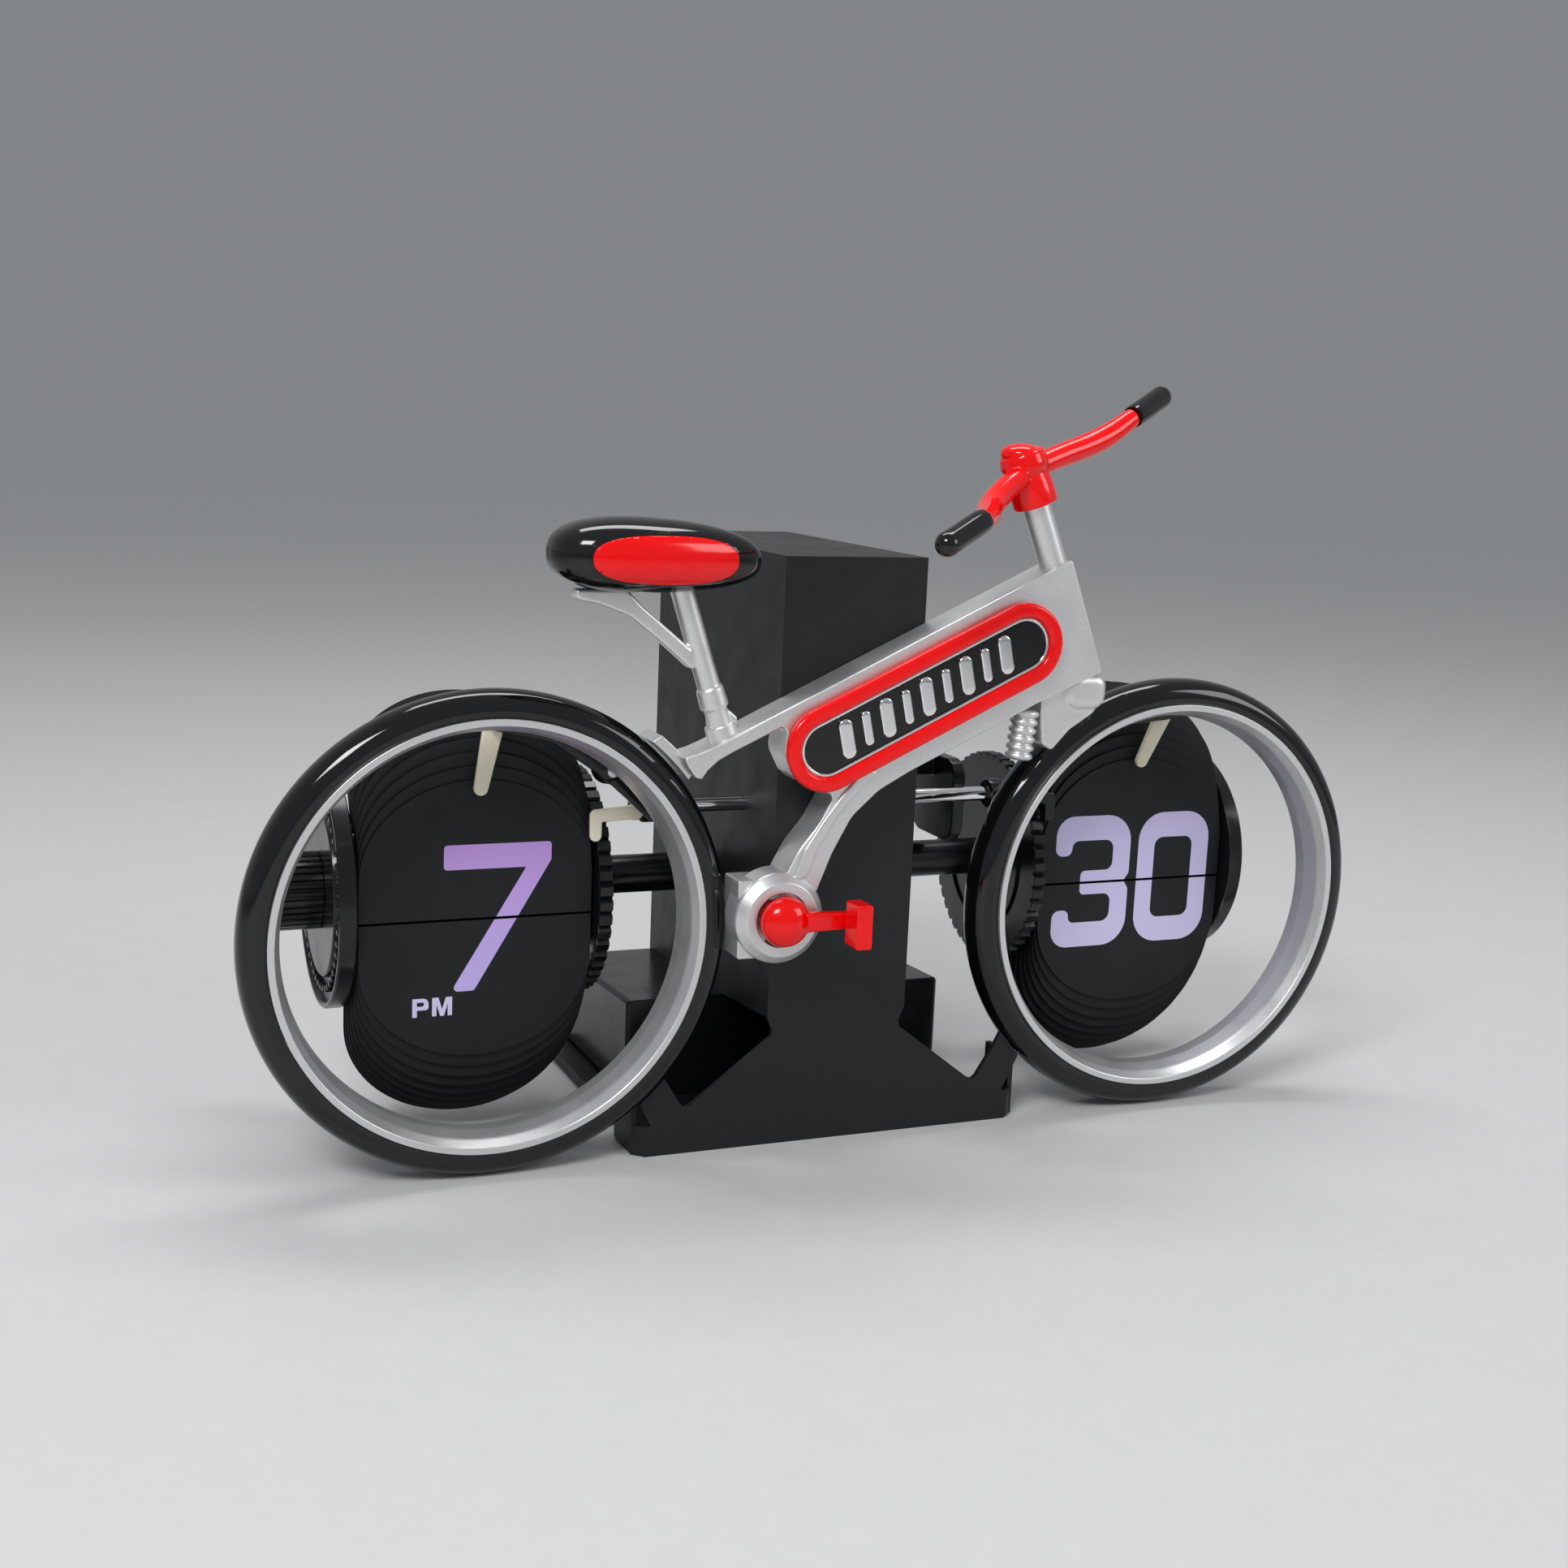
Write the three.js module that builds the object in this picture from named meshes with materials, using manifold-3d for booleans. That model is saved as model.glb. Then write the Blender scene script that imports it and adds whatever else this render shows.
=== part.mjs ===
// Flip number clock in the shape of a bicycle.
// Units are millimetres. +X runs along the bicycle towards its front wheel,
// -Y faces the reader of the two dials, +Z is up, and the clock stands on z = 0.

import * as THREE from 'three';
import { mergeVertices } from 'three/addons/utils/BufferGeometryUtils.js';
import Module from 'manifold-3d';

const wasm = await Module();
wasm.setup();

const DEG = Math.PI / 180;
const GAP = 0.3;

// Wheels: both rims share one front plane at y = 0.
const WHEEL_Z = 67.6;
const REAR_WHEEL_X = -103.3;
const FRONT_WHEEL_X = 109.7;
const TYRE_RADIUS = 67.3;
const TYRE_BACK_Y = 13.6;
const RIM_LIP_RADIUS = 60;
const RIM_BORE_RADIUS = 55.3;
const RIM_DEPTH = 11.5;
const WHEEL_SEGMENTS = 60;

// Stand: a folded sheet tower with a wide foot, and a lower case behind it.
const TOWER_HALF_WIDTH = 21.9;
const FRONT_Y = 4.66;
const BACK_Y = 107.8;
const TOWER_TOP_Z = 170.8;
const SHEET = 1.6;
const FOOT_HALF_WIDTH = 60;
const CASE_HALF_WIDTH = 52;
const CASE_FRONT_Y = 41;
const CASE_FRONT_TOP_Z = 35;
const CASE_BACK_TOP_Z = 31.5;
const CASE_FLOOR_Z = 4.2;
const CASE_WALL = 2;
const PAD_HEIGHT = 1.2;
const FRONT_STRIP_Y = 15;
const REAR_STRIP_Y = 100;

// Drums: one axis carries the hour drum on the left and the minute drum on the right.
const AXIS_Y = 58;
const AXIS_Z = 70;
const TUBE_RADIUS = 5.8;
const FLANGE_RADIUS = 34;
const SPOOL_RADIUS = 21;
const PIN_CIRCLE = 28.3;
const CARDS_PER_TURN = 48;
const CARD_RADIUS = 39.8;
const CARD_HALF_WIDTH = 33.3;
const CARD_SIDE_HEIGHT = 12;
const CARD_THICKNESS = 0.5;
const CARD_FRONT_Y = 29.4;
const HINGE_Z = 66.2;
const HOUR_CARD_X = -101.1;
const MINUTE_CARD_X = 113.4;

// Card retaining rod, clear of the card tops.
const ROD_Y = 31;
const ROD_Z = 96.3;
const ROD_RADIUS = 2.2;

// Bicycle frame casting, fixed to the tower's front.
const FRAME_FRONT_Y = -8;
const FRAME_MID_Y = -1.7;
const CRANK_X = -24.8;
const CRANK_Z = 71.2;
const STEER_TILT = 22.3 * DEG;
const STEER_FOOT = new THREE.Vector3(59.1, FRAME_MID_Y, 169.1);
const STEER_TURN = 61.4 * DEG;
const HEAD_HEIGHT = 28.4;

// ---------------------------------------------------------------- helpers

function toManifold(geometry) {
  const bare = geometry.index ? geometry.toNonIndexed() : geometry.clone();
  bare.deleteAttribute('normal');
  bare.deleteAttribute('uv');
  const merged = mergeVertices(bare, 1e-4);
  const positions = new Float32Array(merged.attributes.position.array);
  const triangles = new Uint32Array(merged.index.array);
  if (signedVolume(positions, triangles) < 0) {
    for (let i = 0; i < triangles.length; i += 3) {
      [triangles[i], triangles[i + 1]] = [triangles[i + 1], triangles[i]];
    }
  }
  return new wasm.Manifold(new wasm.Mesh({
    numProp: 3, vertProperties: positions, triVerts: triangles,
  }));
}

function signedVolume(positions, triangles) {
  const corner = [new THREE.Vector3(), new THREE.Vector3(), new THREE.Vector3()];
  let volume = 0;
  for (let i = 0; i < triangles.length; i += 3) {
    corner.forEach((point, k) => point.fromArray(positions, triangles[i + k] * 3));
    volume += corner[0].dot(corner[1].clone().cross(corner[2])) / 6;
  }
  return volume;
}

function toGeometry(manifold) {
  const mesh = manifold.getMesh();
  const points = new Float32Array(mesh.numVert * 3);
  for (let v = 0; v < mesh.numVert; v += 1) {
    for (let k = 0; k < 3; k += 1) {
      points[3 * v + k] = mesh.vertProperties[v * mesh.numProp + k];
    }
  }
  const geometry = new THREE.BufferGeometry();
  geometry.setAttribute('position', new THREE.BufferAttribute(points, 3));
  geometry.setIndex(new THREE.BufferAttribute(new Uint32Array(mesh.triVerts), 1));
  return geometry;
}

function join(...solids) {
  return solids.reduce((total, solid) => total.add(solid));
}

function cut(solid, ...tools) {
  return tools.reduce((rest, tool) => rest.subtract(tool), solid);
}

function shapeFrom(points) {
  return new THREE.Shape(points.map(([a, b]) => new THREE.Vector2(a, b)));
}

function extrusion(shape, depth, bevel = 0) {
  return new THREE.ExtrudeGeometry(shape, {
    depth: depth - 2 * bevel,
    bevelEnabled: bevel > 0,
    bevelThickness: bevel,
    bevelSize: bevel,
    bevelOffset: -bevel,
    bevelSegments: 1,
    curveSegments: 8,
  }).translate(0, 0, bevel);
}

// The shape lies in the XZ plane and the solid runs from yFront to yBack.
function alongY(shape, yFront, yBack, bevel = 0) {
  return toManifold(extrusion(shape, yBack - yFront, bevel).rotateX(Math.PI / 2)
    .translate(0, yBack, 0));
}

// The shape lies in the YZ plane and the solid runs from x0 to x1.
function alongX(shape, x0, x1, bevel = 0) {
  const turn = new THREE.Matrix4().set(0, 0, 1, x0, 1, 0, 0, 0, 0, 1, 0, 0, 0, 0, 0, 1);
  return toManifold(extrusion(shape, x1 - x0, bevel).applyMatrix4(turn));
}

function alongZ(shape, z0, z1, bevel = 0) {
  return toManifold(extrusion(shape, z1 - z0, bevel).translate(0, 0, z0));
}

function block(x0, x1, y0, y1, z0, z1) {
  return toManifold(new THREE.BoxGeometry(x1 - x0, y1 - y0, z1 - z0)
    .translate((x0 + x1) / 2, (y0 + y1) / 2, (z0 + z1) / 2));
}

function rodX(radius, x0, x1, y, z, segments = 24) {
  return toManifold(new THREE.CylinderGeometry(radius, radius, x1 - x0, segments)
    .rotateZ(Math.PI / 2).translate((x0 + x1) / 2, y, z));
}

function rodY(radius, y0, y1, x, z, segments = 24) {
  return toManifold(new THREE.CylinderGeometry(radius, radius, y1 - y0, segments)
    .translate(x, (y0 + y1) / 2, z));
}

// A round bar between two points, with an optional end radius of its own.
function bar(from, to, radius, endRadius = radius, segments = 16) {
  const start = new THREE.Vector3(...from);
  const end = new THREE.Vector3(...to);
  const way = end.clone().sub(start);
  const turn = new THREE.Quaternion().setFromUnitVectors(
    new THREE.Vector3(0, 1, 0), way.clone().normalize());
  const geometry = new THREE.CylinderGeometry(endRadius, radius, way.length(), segments);
  geometry.applyQuaternion(turn).translate(...start.add(end).multiplyScalar(0.5).toArray());
  return toManifold(geometry);
}

// A round bar that follows a smooth curve through the given points.
function sweep(points, radius) {
  const circle = new THREE.Shape();
  circle.absarc(0, 0, radius, 0, 2 * Math.PI);
  return toManifold(new THREE.ExtrudeGeometry(circle, {
    steps: 5,
    curveSegments: 10,
    extrudePath: new THREE.CatmullRomCurve3(points),
  }));
}

function ball(centre, radii, wide = 16, high = 8) {
  return toManifold(new THREE.SphereGeometry(1, wide, high)
    .scale(...radii).translate(...centre));
}

// Profile points are [radius, y]; the solid of revolution stands on a Y axis.
function turnedY(profile, x, z, segments) {
  const points = [...profile, profile[0]].map(([r, y]) => new THREE.Vector2(r, y));
  return toManifold(new THREE.LatheGeometry(points, segments).translate(x, 0, z));
}

// Profile points are [radius, x]; the solid of revolution lies on the drum axis.
function turnedOnDrumAxis(profile, segments) {
  const points = [...profile, profile[0]].map(([r, x]) => new THREE.Vector2(r, x));
  return toManifold(new THREE.LatheGeometry(points, segments)
    .rotateZ(-Math.PI / 2).translate(0, AXIS_Y, AXIS_Z));
}

function roundedRectangle(x0, x1, z0, z1, radius) {
  const shape = new THREE.Shape();
  shape.moveTo(x0 + radius, z0);
  shape.lineTo(x1 - radius, z0);
  shape.absarc(x1 - radius, z0 + radius, radius, -Math.PI / 2, 0);
  shape.lineTo(x1, z1 - radius);
  shape.absarc(x1 - radius, z1 - radius, radius, 0, Math.PI / 2);
  shape.lineTo(x0 + radius, z1);
  shape.absarc(x0 + radius, z1 - radius, radius, Math.PI / 2, Math.PI);
  shape.lineTo(x0, z0 + radius);
  shape.absarc(x0 + radius, z0 + radius, radius, Math.PI, 1.5 * Math.PI);
  return shape;
}

// A stadium whose two arc centres are a and b.
function stadium(a, b, radius) {
  const angle = Math.atan2(b[1] - a[1], b[0] - a[0]);
  const shape = new THREE.Shape();
  shape.absarc(b[0], b[1], radius, angle - Math.PI / 2, angle + Math.PI / 2);
  shape.absarc(a[0], a[1], radius, angle + Math.PI / 2, angle + 1.5 * Math.PI);
  return shape;
}

// ---------------------------------------------------------------- wheels

function tyre(x) {
  const middleY = (TYRE_BACK_Y + 0.8) / 2;
  const halfY = (TYRE_BACK_Y - 0.8) / 2;
  const crown = [-1, -0.8, -0.3, 0.3, 0.8, 1];
  const profile = crown.map((t) => {
    const rise = (TYRE_RADIUS - RIM_LIP_RADIUS - 1.6) * Math.sqrt(1 - 0.98 * t * t);
    return [RIM_LIP_RADIUS + 1.6 + rise, middleY + halfY * t];
  });
  profile.push([RIM_LIP_RADIUS + GAP / 2, middleY + halfY]);
  profile.push([RIM_LIP_RADIUS + GAP / 2, middleY - halfY]);
  return turnedY(profile, x, WHEEL_Z, WHEEL_SEGMENTS);
}

function rim(x) {
  const profile = [
    [RIM_LIP_RADIUS, 0], [RIM_LIP_RADIUS, RIM_DEPTH + 1.2], [RIM_BORE_RADIUS, RIM_DEPTH + 1.2],
    [RIM_BORE_RADIUS + 0.5, 7], [RIM_BORE_RADIUS + 1.6, 3.2], [58.6, 0],
  ];
  return turnedY(profile, x, WHEEL_Z, WHEEL_SEGMENTS);
}

function wheelClearance(x) {
  return rodY(TYRE_RADIUS + GAP, -30, 130, x, WHEEL_Z, WHEEL_SEGMENTS);
}

// ---------------------------------------------------------------- stand

function frontOutline() {
  const right = [
    [58, 0], [58.4, 1.6], [56.9, 4.6], [56.4, 9], [61.5, 19.5], [64, 33], [58, 33],
    [52.7, 22.8], [47.4, 14.4], [46.2, 13.6], [44.6, 14.2], [20.6, 32.4], [20.2, 34.4],
    [TOWER_HALF_WIDTH, 38.4], [TOWER_HALF_WIDTH, TOWER_TOP_Z],
  ];
  const left = right.map(([x, z]) => [-x, z]).reverse();
  return shapeFrom([...left, ...right].reverse());
}

function caseTopAt(y) {
  const share = (y - CASE_FRONT_Y) / (BACK_Y - CASE_FRONT_Y);
  return CASE_FRONT_TOP_Z + share * (CASE_BACK_TOP_Z - CASE_FRONT_TOP_Z);
}

function towerSide(side) {
  const outline = shapeFrom([
    [FRONT_Y + 0.2, 38.4], [CASE_FRONT_Y, caseTopAt(CASE_FRONT_Y) + 0.05],
    [BACK_Y, caseTopAt(BACK_Y) + 0.05], [BACK_Y, TOWER_TOP_Z], [FRONT_Y + 0.2, TOWER_TOP_Z],
  ]);
  const inner = side * (TOWER_HALF_WIDTH - SHEET);
  const outer = side * TOWER_HALF_WIDTH;
  return alongX(outline, Math.min(inner, outer), Math.max(inner, outer));
}

function footFlange(side) {
  const outer = side * (FOOT_HALF_WIDTH + 1.5);
  const inner = side * (FOOT_HALF_WIDTH + 1.5 - SHEET);
  return join(
    block(Math.min(inner, outer), Math.max(inner, outer), 7, 22, 0.6, 19),
    alongZ(shapeFrom(side > 0
      ? [[56, FRONT_Y], [58.6, FRONT_Y], [61.5, 7.4], [61.5, 9], [59.9, 9], [58, 6.3], [56, 6.3]]
      : [[-56, FRONT_Y], [-56, 6.3], [-58, 6.3], [-59.9, 9], [-61.5, 9], [-61.5, 7.4],
        [-58.6, FRONT_Y]]), 0.6, 9),
  );
}

function standPanel() {
  const front = alongY(frontOutline(), FRONT_Y, FRONT_Y + SHEET);
  const top = block(-TOWER_HALF_WIDTH, TOWER_HALF_WIDTH, FRONT_Y + 0.4, BACK_Y,
    TOWER_TOP_Z - SHEET, TOWER_TOP_Z);
  const shell = join(front, towerSide(-1), towerSide(1), top, footFlange(-1), footFlange(1));
  const holes = [
    rodX(TUBE_RADIUS + 0.9, -30, 30, AXIS_Y, AXIS_Z),
    rodX(ROD_RADIUS + 0.1, -30, 30, ROD_Y, ROD_Z),
    wheelClearance(REAR_WHEEL_X),
    wheelClearance(FRONT_WHEEL_X),
  ];
  return cut(shell, ...holes);
}

function towerBack() {
  const inner = TOWER_HALF_WIDTH - SHEET - 0.2;
  const plate = alongY(roundedRectangle(-inner, inner, 32.4, TOWER_TOP_Z - SHEET - 0.2, 2),
    BACK_Y - 2.4, BACK_Y - 0.4);
  const louvres = [0, 1, 2, 3, 4].map(
    (i) => block(-11, 11, BACK_Y - 5, BACK_Y + 5, 118 + 7 * i, 120.4 + 7 * i));
  return cut(plate, ...louvres);
}

function caseOutline(inset) {
  return shapeFrom([
    [CASE_FRONT_Y + inset, CASE_FLOOR_Z], [BACK_Y - inset, CASE_FLOOR_Z],
    [BACK_Y - inset, CASE_BACK_TOP_Z - inset], [CASE_FRONT_Y + inset, CASE_FRONT_TOP_Z - inset],
  ]);
}

function lowerCase() {
  const shell = alongX(caseOutline(0), -CASE_HALF_WIDTH, CASE_HALF_WIDTH, 1.2);
  const hollow = join(
    alongX(caseOutline(CASE_WALL), -CASE_HALF_WIDTH + CASE_WALL, CASE_HALF_WIDTH - CASE_WALL),
    block(-CASE_HALF_WIDTH + CASE_WALL, CASE_HALF_WIDTH - CASE_WALL,
      CASE_FRONT_Y + CASE_WALL, BACK_Y - CASE_WALL, CASE_FLOOR_Z - 1, CASE_FLOOR_Z + 4),
  );
  const wireSlot = block(-9, 9, 70, 90, 25, 40);
  return cut(shell, hollow, wireSlot);
}

function basePlate() {
  const half = FOOT_HALF_WIDTH - 1;
  const plate = alongZ(roundedRectangle(-half, half, FRONT_Y + SHEET + 0.2, BACK_Y, 4),
    PAD_HEIGHT, CASE_FLOOR_Z - 0.1);
  const doorway = block(-33, 33, 56, BACK_Y + 1, 0, 10);
  const guides = block(-35.3, 35.3, 56, BACK_Y + 1, 2, 3.7);
  return cut(plate, doorway, guides);
}

function batteryDoor() {
  const panel = join(
    block(-32.7, 32.7, 56.3, BACK_Y - 0.3, PAD_HEIGHT + 0.1, 3.4),
    block(-35, 35, 56.3, BACK_Y - 0.3, 2.3, 3.4),
  );
  const grooves = [0, 1, 2].map((i) => block(-8, 8, 84 + 3 * i, 85.4 + 3 * i, 0, PAD_HEIGHT + 0.7));
  return cut(panel, ...grooves);
}

function battery(y) {
  return join(
    rodX(6.9, -25, 24, y, CASE_FLOOR_Z + 8),
    rodX(2.7, 23, 25.4, y, CASE_FLOOR_Z + 8, 16),
  );
}

function batteryContact(x) {
  return block(x, x + 0.8, 61, 89, CASE_FLOOR_Z + 2, CASE_FLOOR_Z + 15);
}

function footStrip(y) {
  return block(-50, 50, y - 2, y + 2, 0, PAD_HEIGHT);
}

// ---------------------------------------------------------------- movement

function gear(teeth, module, face, y, z, bore, phase) {
  const pitch = 2 * Math.PI / teeth;
  const root = teeth * module / 2 - 1.1 * module;
  const tip = teeth * module / 2 + 0.75 * module;
  const points = [];
  for (let i = 0; i < teeth; i += 1) {
    const middle = phase + i * pitch;
    [[root, -0.29], [tip, -0.12], [tip, 0.12], [root, 0.29]].forEach(([radius, turn]) => {
      const angle = middle + turn * pitch;
      points.push([y + radius * Math.cos(angle), z + radius * Math.sin(angle)]);
    });
  }
  const solid = alongX(shapeFrom(points), face[0], face[1]);
  return bore > 0 ? cut(solid, rodX(bore, face[0] - 1, face[1] + 1, y, z, 24)) : solid;
}

const GEAR_MODULE = 1.1;
const MINUTE_TEETH = 36;
const PINION_TEETH = 12;
const WHEEL_TEETH = 30;
const TRAIN_Z = AXIS_Z + GEAR_MODULE * (MINUTE_TEETH + PINION_TEETH) / 2;
const MOTOR_Z = TRAIN_Z + GEAR_MODULE * (WHEEL_TEETH + PINION_TEETH) / 2;

function minuteGear() {
  return gear(MINUTE_TEETH, GEAR_MODULE, [9, 12], AXIS_Y, AXIS_Z, TUBE_RADIUS,
    Math.PI / 2 + Math.PI / MINUTE_TEETH);
}

function reductionGear() {
  return join(
    gear(PINION_TEETH, GEAR_MODULE, [8.4, 12.6], AXIS_Y, TRAIN_Z, 0, -Math.PI / 2),
    gear(WHEEL_TEETH, GEAR_MODULE, [5, 7.6], AXIS_Y, TRAIN_Z, 0,
      Math.PI / 2 + Math.PI / WHEEL_TEETH),
    rodX(1.4, 2, 16, AXIS_Y, TRAIN_Z, 16),
    rodX(3, 7, 9, AXIS_Y, TRAIN_Z, 16),
  );
}

function motorPinion() {
  return join(
    gear(PINION_TEETH, GEAR_MODULE, [4.4, 8.2], AXIS_Y, MOTOR_Z, 0, -Math.PI / 2),
    rodX(1.2, 2.6, 9, AXIS_Y, MOTOR_Z, 16),
  );
}

function motor() {
  const can = join(
    rodX(15, -14, 1.6, AXIS_Y, MOTOR_Z, 32),
    block(-14, 1.6, AXIS_Y - 15, AXIS_Y + 15, MOTOR_Z + 4, MOTOR_Z + 8),
  );
  return cut(can, rodX(1.5, 0, 4, AXIS_Y, MOTOR_Z, 16));
}

function movementPlate() {
  const plate = alongX(roundedRectangle(36, 100, 44, 160, 3), 13.4, 15.6);
  const feet = [[40, 48], [96, 48], [40, 156], [96, 156]].map(
    ([y, z]) => rodX(2.4, 15, TOWER_HALF_WIDTH - SHEET - 0.02, y, z, 8));
  const holes = [
    rodX(TUBE_RADIUS + 0.9, 10, 20, AXIS_Y, AXIS_Z),
    rodX(1.7, 10, 20, AXIS_Y, TRAIN_Z, 16),
  ];
  return cut(join(plate, ...feet), ...holes);
}

// ---------------------------------------------------------------- drums

function axleTube(x0, x1) {
  return turnedOnDrumAxis([[TUBE_RADIUS - 1.4, x0], [TUBE_RADIUS, x0], [TUBE_RADIUS, x1],
    [TUBE_RADIUS - 1.4, x1]], 24);
}

// The flange beside the tower has a saw-tooth edge, one notch for each card.
function innerFlange(x0, x1) {
  const points = [];
  for (let i = 0; i < CARDS_PER_TURN; i += 1) {
    const angle = 2 * Math.PI * i / CARDS_PER_TURN;
    const next = angle + 1.5 * Math.PI / CARDS_PER_TURN;
    points.push(onCircle(FLANGE_RADIUS, angle));
    points.push(onCircle(FLANGE_RADIUS - 1.2, next));
  }
  return cut(alongX(shapeFrom(points), x0, x1),
    rodX(TUBE_RADIUS, x0 - 1, x1 + 1, AXIS_Y, AXIS_Z, 24));
}

// The far flange carries the spool; its outer face is recessed around the pin ring.
function outerFlange(side, cardX) {
  const face = cardX + side * (CARD_HALF_WIDTH + 1.1);
  const back = face + side * 4.9;
  const spoolEnd = cardX - side * (CARD_HALF_WIDTH + 1);
  return turnedOnDrumAxis([
    [TUBE_RADIUS + 0.2, spoolEnd], [SPOOL_RADIUS, spoolEnd], [SPOOL_RADIUS, face],
    [FLANGE_RADIUS, face], [FLANGE_RADIUS, back], [FLANGE_RADIUS - 1.6, back],
    [FLANGE_RADIUS - 2.2, back - side * 1.6], [25.2, back - side * 1.6], [24.6, back],
    [TUBE_RADIUS + 0.2, back],
  ], 36);
}

function knob(x0, x1) {
  const ribs = 20;
  const points = [];
  for (let i = 0; i < 2 * ribs; i += 1) {
    const radius = i % 2 ? 10.2 : 11.2;
    const angle = Math.PI * i / ribs;
    points.push(onCircle(radius, angle));
  }
  return alongX(shapeFrom(points), x0, x1);
}

// Half of a card: straight sides rise from its hinge edge and a half ellipse closes it.
function cardShape(x, edgeGap, tail = 0) {
  const steps = 9;
  const shape = new THREE.Shape();
  shape.moveTo(x - CARD_HALF_WIDTH, edgeGap - tail);
  shape.lineTo(x + CARD_HALF_WIDTH, edgeGap - tail);
  for (let i = 0; i <= steps; i += 1) {
    const angle = Math.PI * i / steps;
    shape.lineTo(x + CARD_HALF_WIDTH * Math.cos(angle),
      CARD_SIDE_HEIGHT + (CARD_RADIUS - CARD_SIDE_HEIGHT) * Math.sin(angle));
  }
  return shape;
}

// A card standing on its hinge edge, leaning back by an angle (180 degrees hangs it).
function card(x, y, z, lean, thickness, edgeGap, tail = 0) {
  const geometry = extrusion(cardShape(x, edgeGap, tail), thickness).rotateX(Math.PI / 2)
    .translate(0, thickness, 0).rotateX(-lean).translate(0, y, z);
  return toManifold(geometry);
}

function hangingCard(x, y, z, thickness, edgeGap) {
  return toManifold(extrusion(cardShape(x, edgeGap), thickness).rotateX(-Math.PI / 2)
    .translate(0, y, z));
}

function pinPoint(step) {
  const angle = Math.asin((HINGE_Z - AXIS_Z) / PIN_CIRCLE) + step * 2 * Math.PI / CARDS_PER_TURN;
  return onCircle(PIN_CIRCLE, angle);
}

// A point in y and z on a circle about the drum axis; angle 0 faces the front.
function onCircle(radius, angle) {
  return [AXIS_Y - radius * Math.cos(angle), AXIS_Z + radius * Math.sin(angle)];
}

// A narrow belt through the card roots, where the card pins sit on the drum.
function pinBelt(x, from, to) {
  const start = Math.asin((HINGE_Z - AXIS_Z) / PIN_CIRCLE);
  const step = 2 * Math.PI / CARDS_PER_TURN;
  const outer = [];
  const inner = [];
  for (let i = 0; i <= 6; i += 1) {
    const angle = start + step * (from + (to - from) * i / 6);
    outer.push(onCircle(PIN_CIRCLE + 0.6, angle));
    inner.push(onCircle(PIN_CIRCLE - 1.2, angle));
  }
  const belt = alongX(shapeFrom([...outer, ...inner.reverse()]), x - 6, x + 6);
  return cut(belt, block(x - 7, x + 7, 0, CARD_FRONT_Y + CARD_THICKNESS + 0.4, 0, 120));
}

const UPPER_LEANS = [0, 0, 0.6, 1.6, 4, 9, 18, 30];

function upperCards(x) {
  const cards = UPPER_LEANS.map((lean, i) => {
    const [y, z] = pinPoint(i + 1);
    const front = Math.max(y, CARD_FRONT_Y + CARD_THICKNESS + 0.2 + 0.95 * i);
    return card(x, front, z, lean * DEG, 0.7, 0, 1);
  });
  return join(pinBelt(x, 0.75, UPPER_LEANS.length + 0.2), ...cards);
}

function lowerCards(x) {
  const cards = [1, 2, 3, 4, 5, 6, 7, 8, 9].map((i) => {
    const [y, z] = pinPoint(-i);
    const front = Math.max(y, CARD_FRONT_Y + CARD_THICKNESS + 0.2 + 0.95 * (i - 1));
    return hangingCard(x, front, z, 0.7, -0.6);
  });
  return join(pinBelt(x, -0.8, -9.2), ...cards);
}

function frontUpperCard(x) {
  return card(x, CARD_FRONT_Y, HINGE_Z, 0, CARD_THICKNESS, 0.35);
}

function frontLowerCard(x) {
  return hangingCard(x, CARD_FRONT_Y, HINGE_Z, CARD_THICKNESS, 0.35);
}

// ---------------------------------------------------------------- card retainers

function strip(points, width, y0, y1) {
  const parts = [];
  for (let i = 0; i + 1 < points.length; i += 1) {
    parts.push(alongY(stadium(points[i], points[i + 1], width / 2), y0, y1));
  }
  return join(...parts);
}

function finger(top, tip) {
  return strip([top, tip], 4.2, 26.4, 28.1);
}

function fingerArm(side, root, fingerTop) {
  const boss = rodX(4.4, root - 2.3, root + 2.3, ROD_Y, ROD_Z, 20);
  const head = [root + side * 14, ROD_Z + 12.5];
  const crest = [root + side * 30, ROD_Z + 23];
  const arm = strip([[root, ROD_Z], head, crest, fingerTop], 5.2, 22.6, 26.1);
  const link = block(root - 2.3, root + 2.3, 24, 29, ROD_Z - 2.6, ROD_Z + 2.6);
  return cut(join(boss, arm, link), rodX(ROD_RADIUS + 0.15, root - 9, root + 9, ROD_Y, ROD_Z));
}

function latch(side, cardEdge, root) {
  const hookX = cardEdge;
  const bend = [[hookX, 89.2], [hookX, ROD_Z - 1.4], [root + side * 0.9, ROD_Z - 0.6]];
  const arm = strip(bend, 3.6, 26.4, 28.1);
  const collar = rodX(3.8, root - 1.2, root + 1.2, ROD_Y, ROD_Z, 20);
  return cut(join(arm, collar),
    rodX(ROD_RADIUS + 0.15, root - 9, root + 9, ROD_Y, ROD_Z),
    rodX(FLANGE_RADIUS + 0.4, hookX - 5, hookX + 5, AXIS_Y, AXIS_Z, 48));
}

// A cheek plate behind the rod, hung from the tower's right wall by one arm.
function rodBracket() {
  const cheek = alongX(roundedRectangle(ROD_Y + 3.4, AXIS_Y + 4, 80, 106, 6), 50, 54);
  return join(cheek, block(TOWER_HALF_WIDTH, 51, 48, 58, 99.4, 105));
}

// ---------------------------------------------------------------- bicycle frame

const BEAM_SLOPE = 0.4786;

function beamTop(x) {
  return 120.1 + BEAM_SLOPE * (x + 45.8);
}

const BADGE_REAR = [-13.6, 118.9];
const BADGE_FRONT = [46.6, 147.6];

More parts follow.
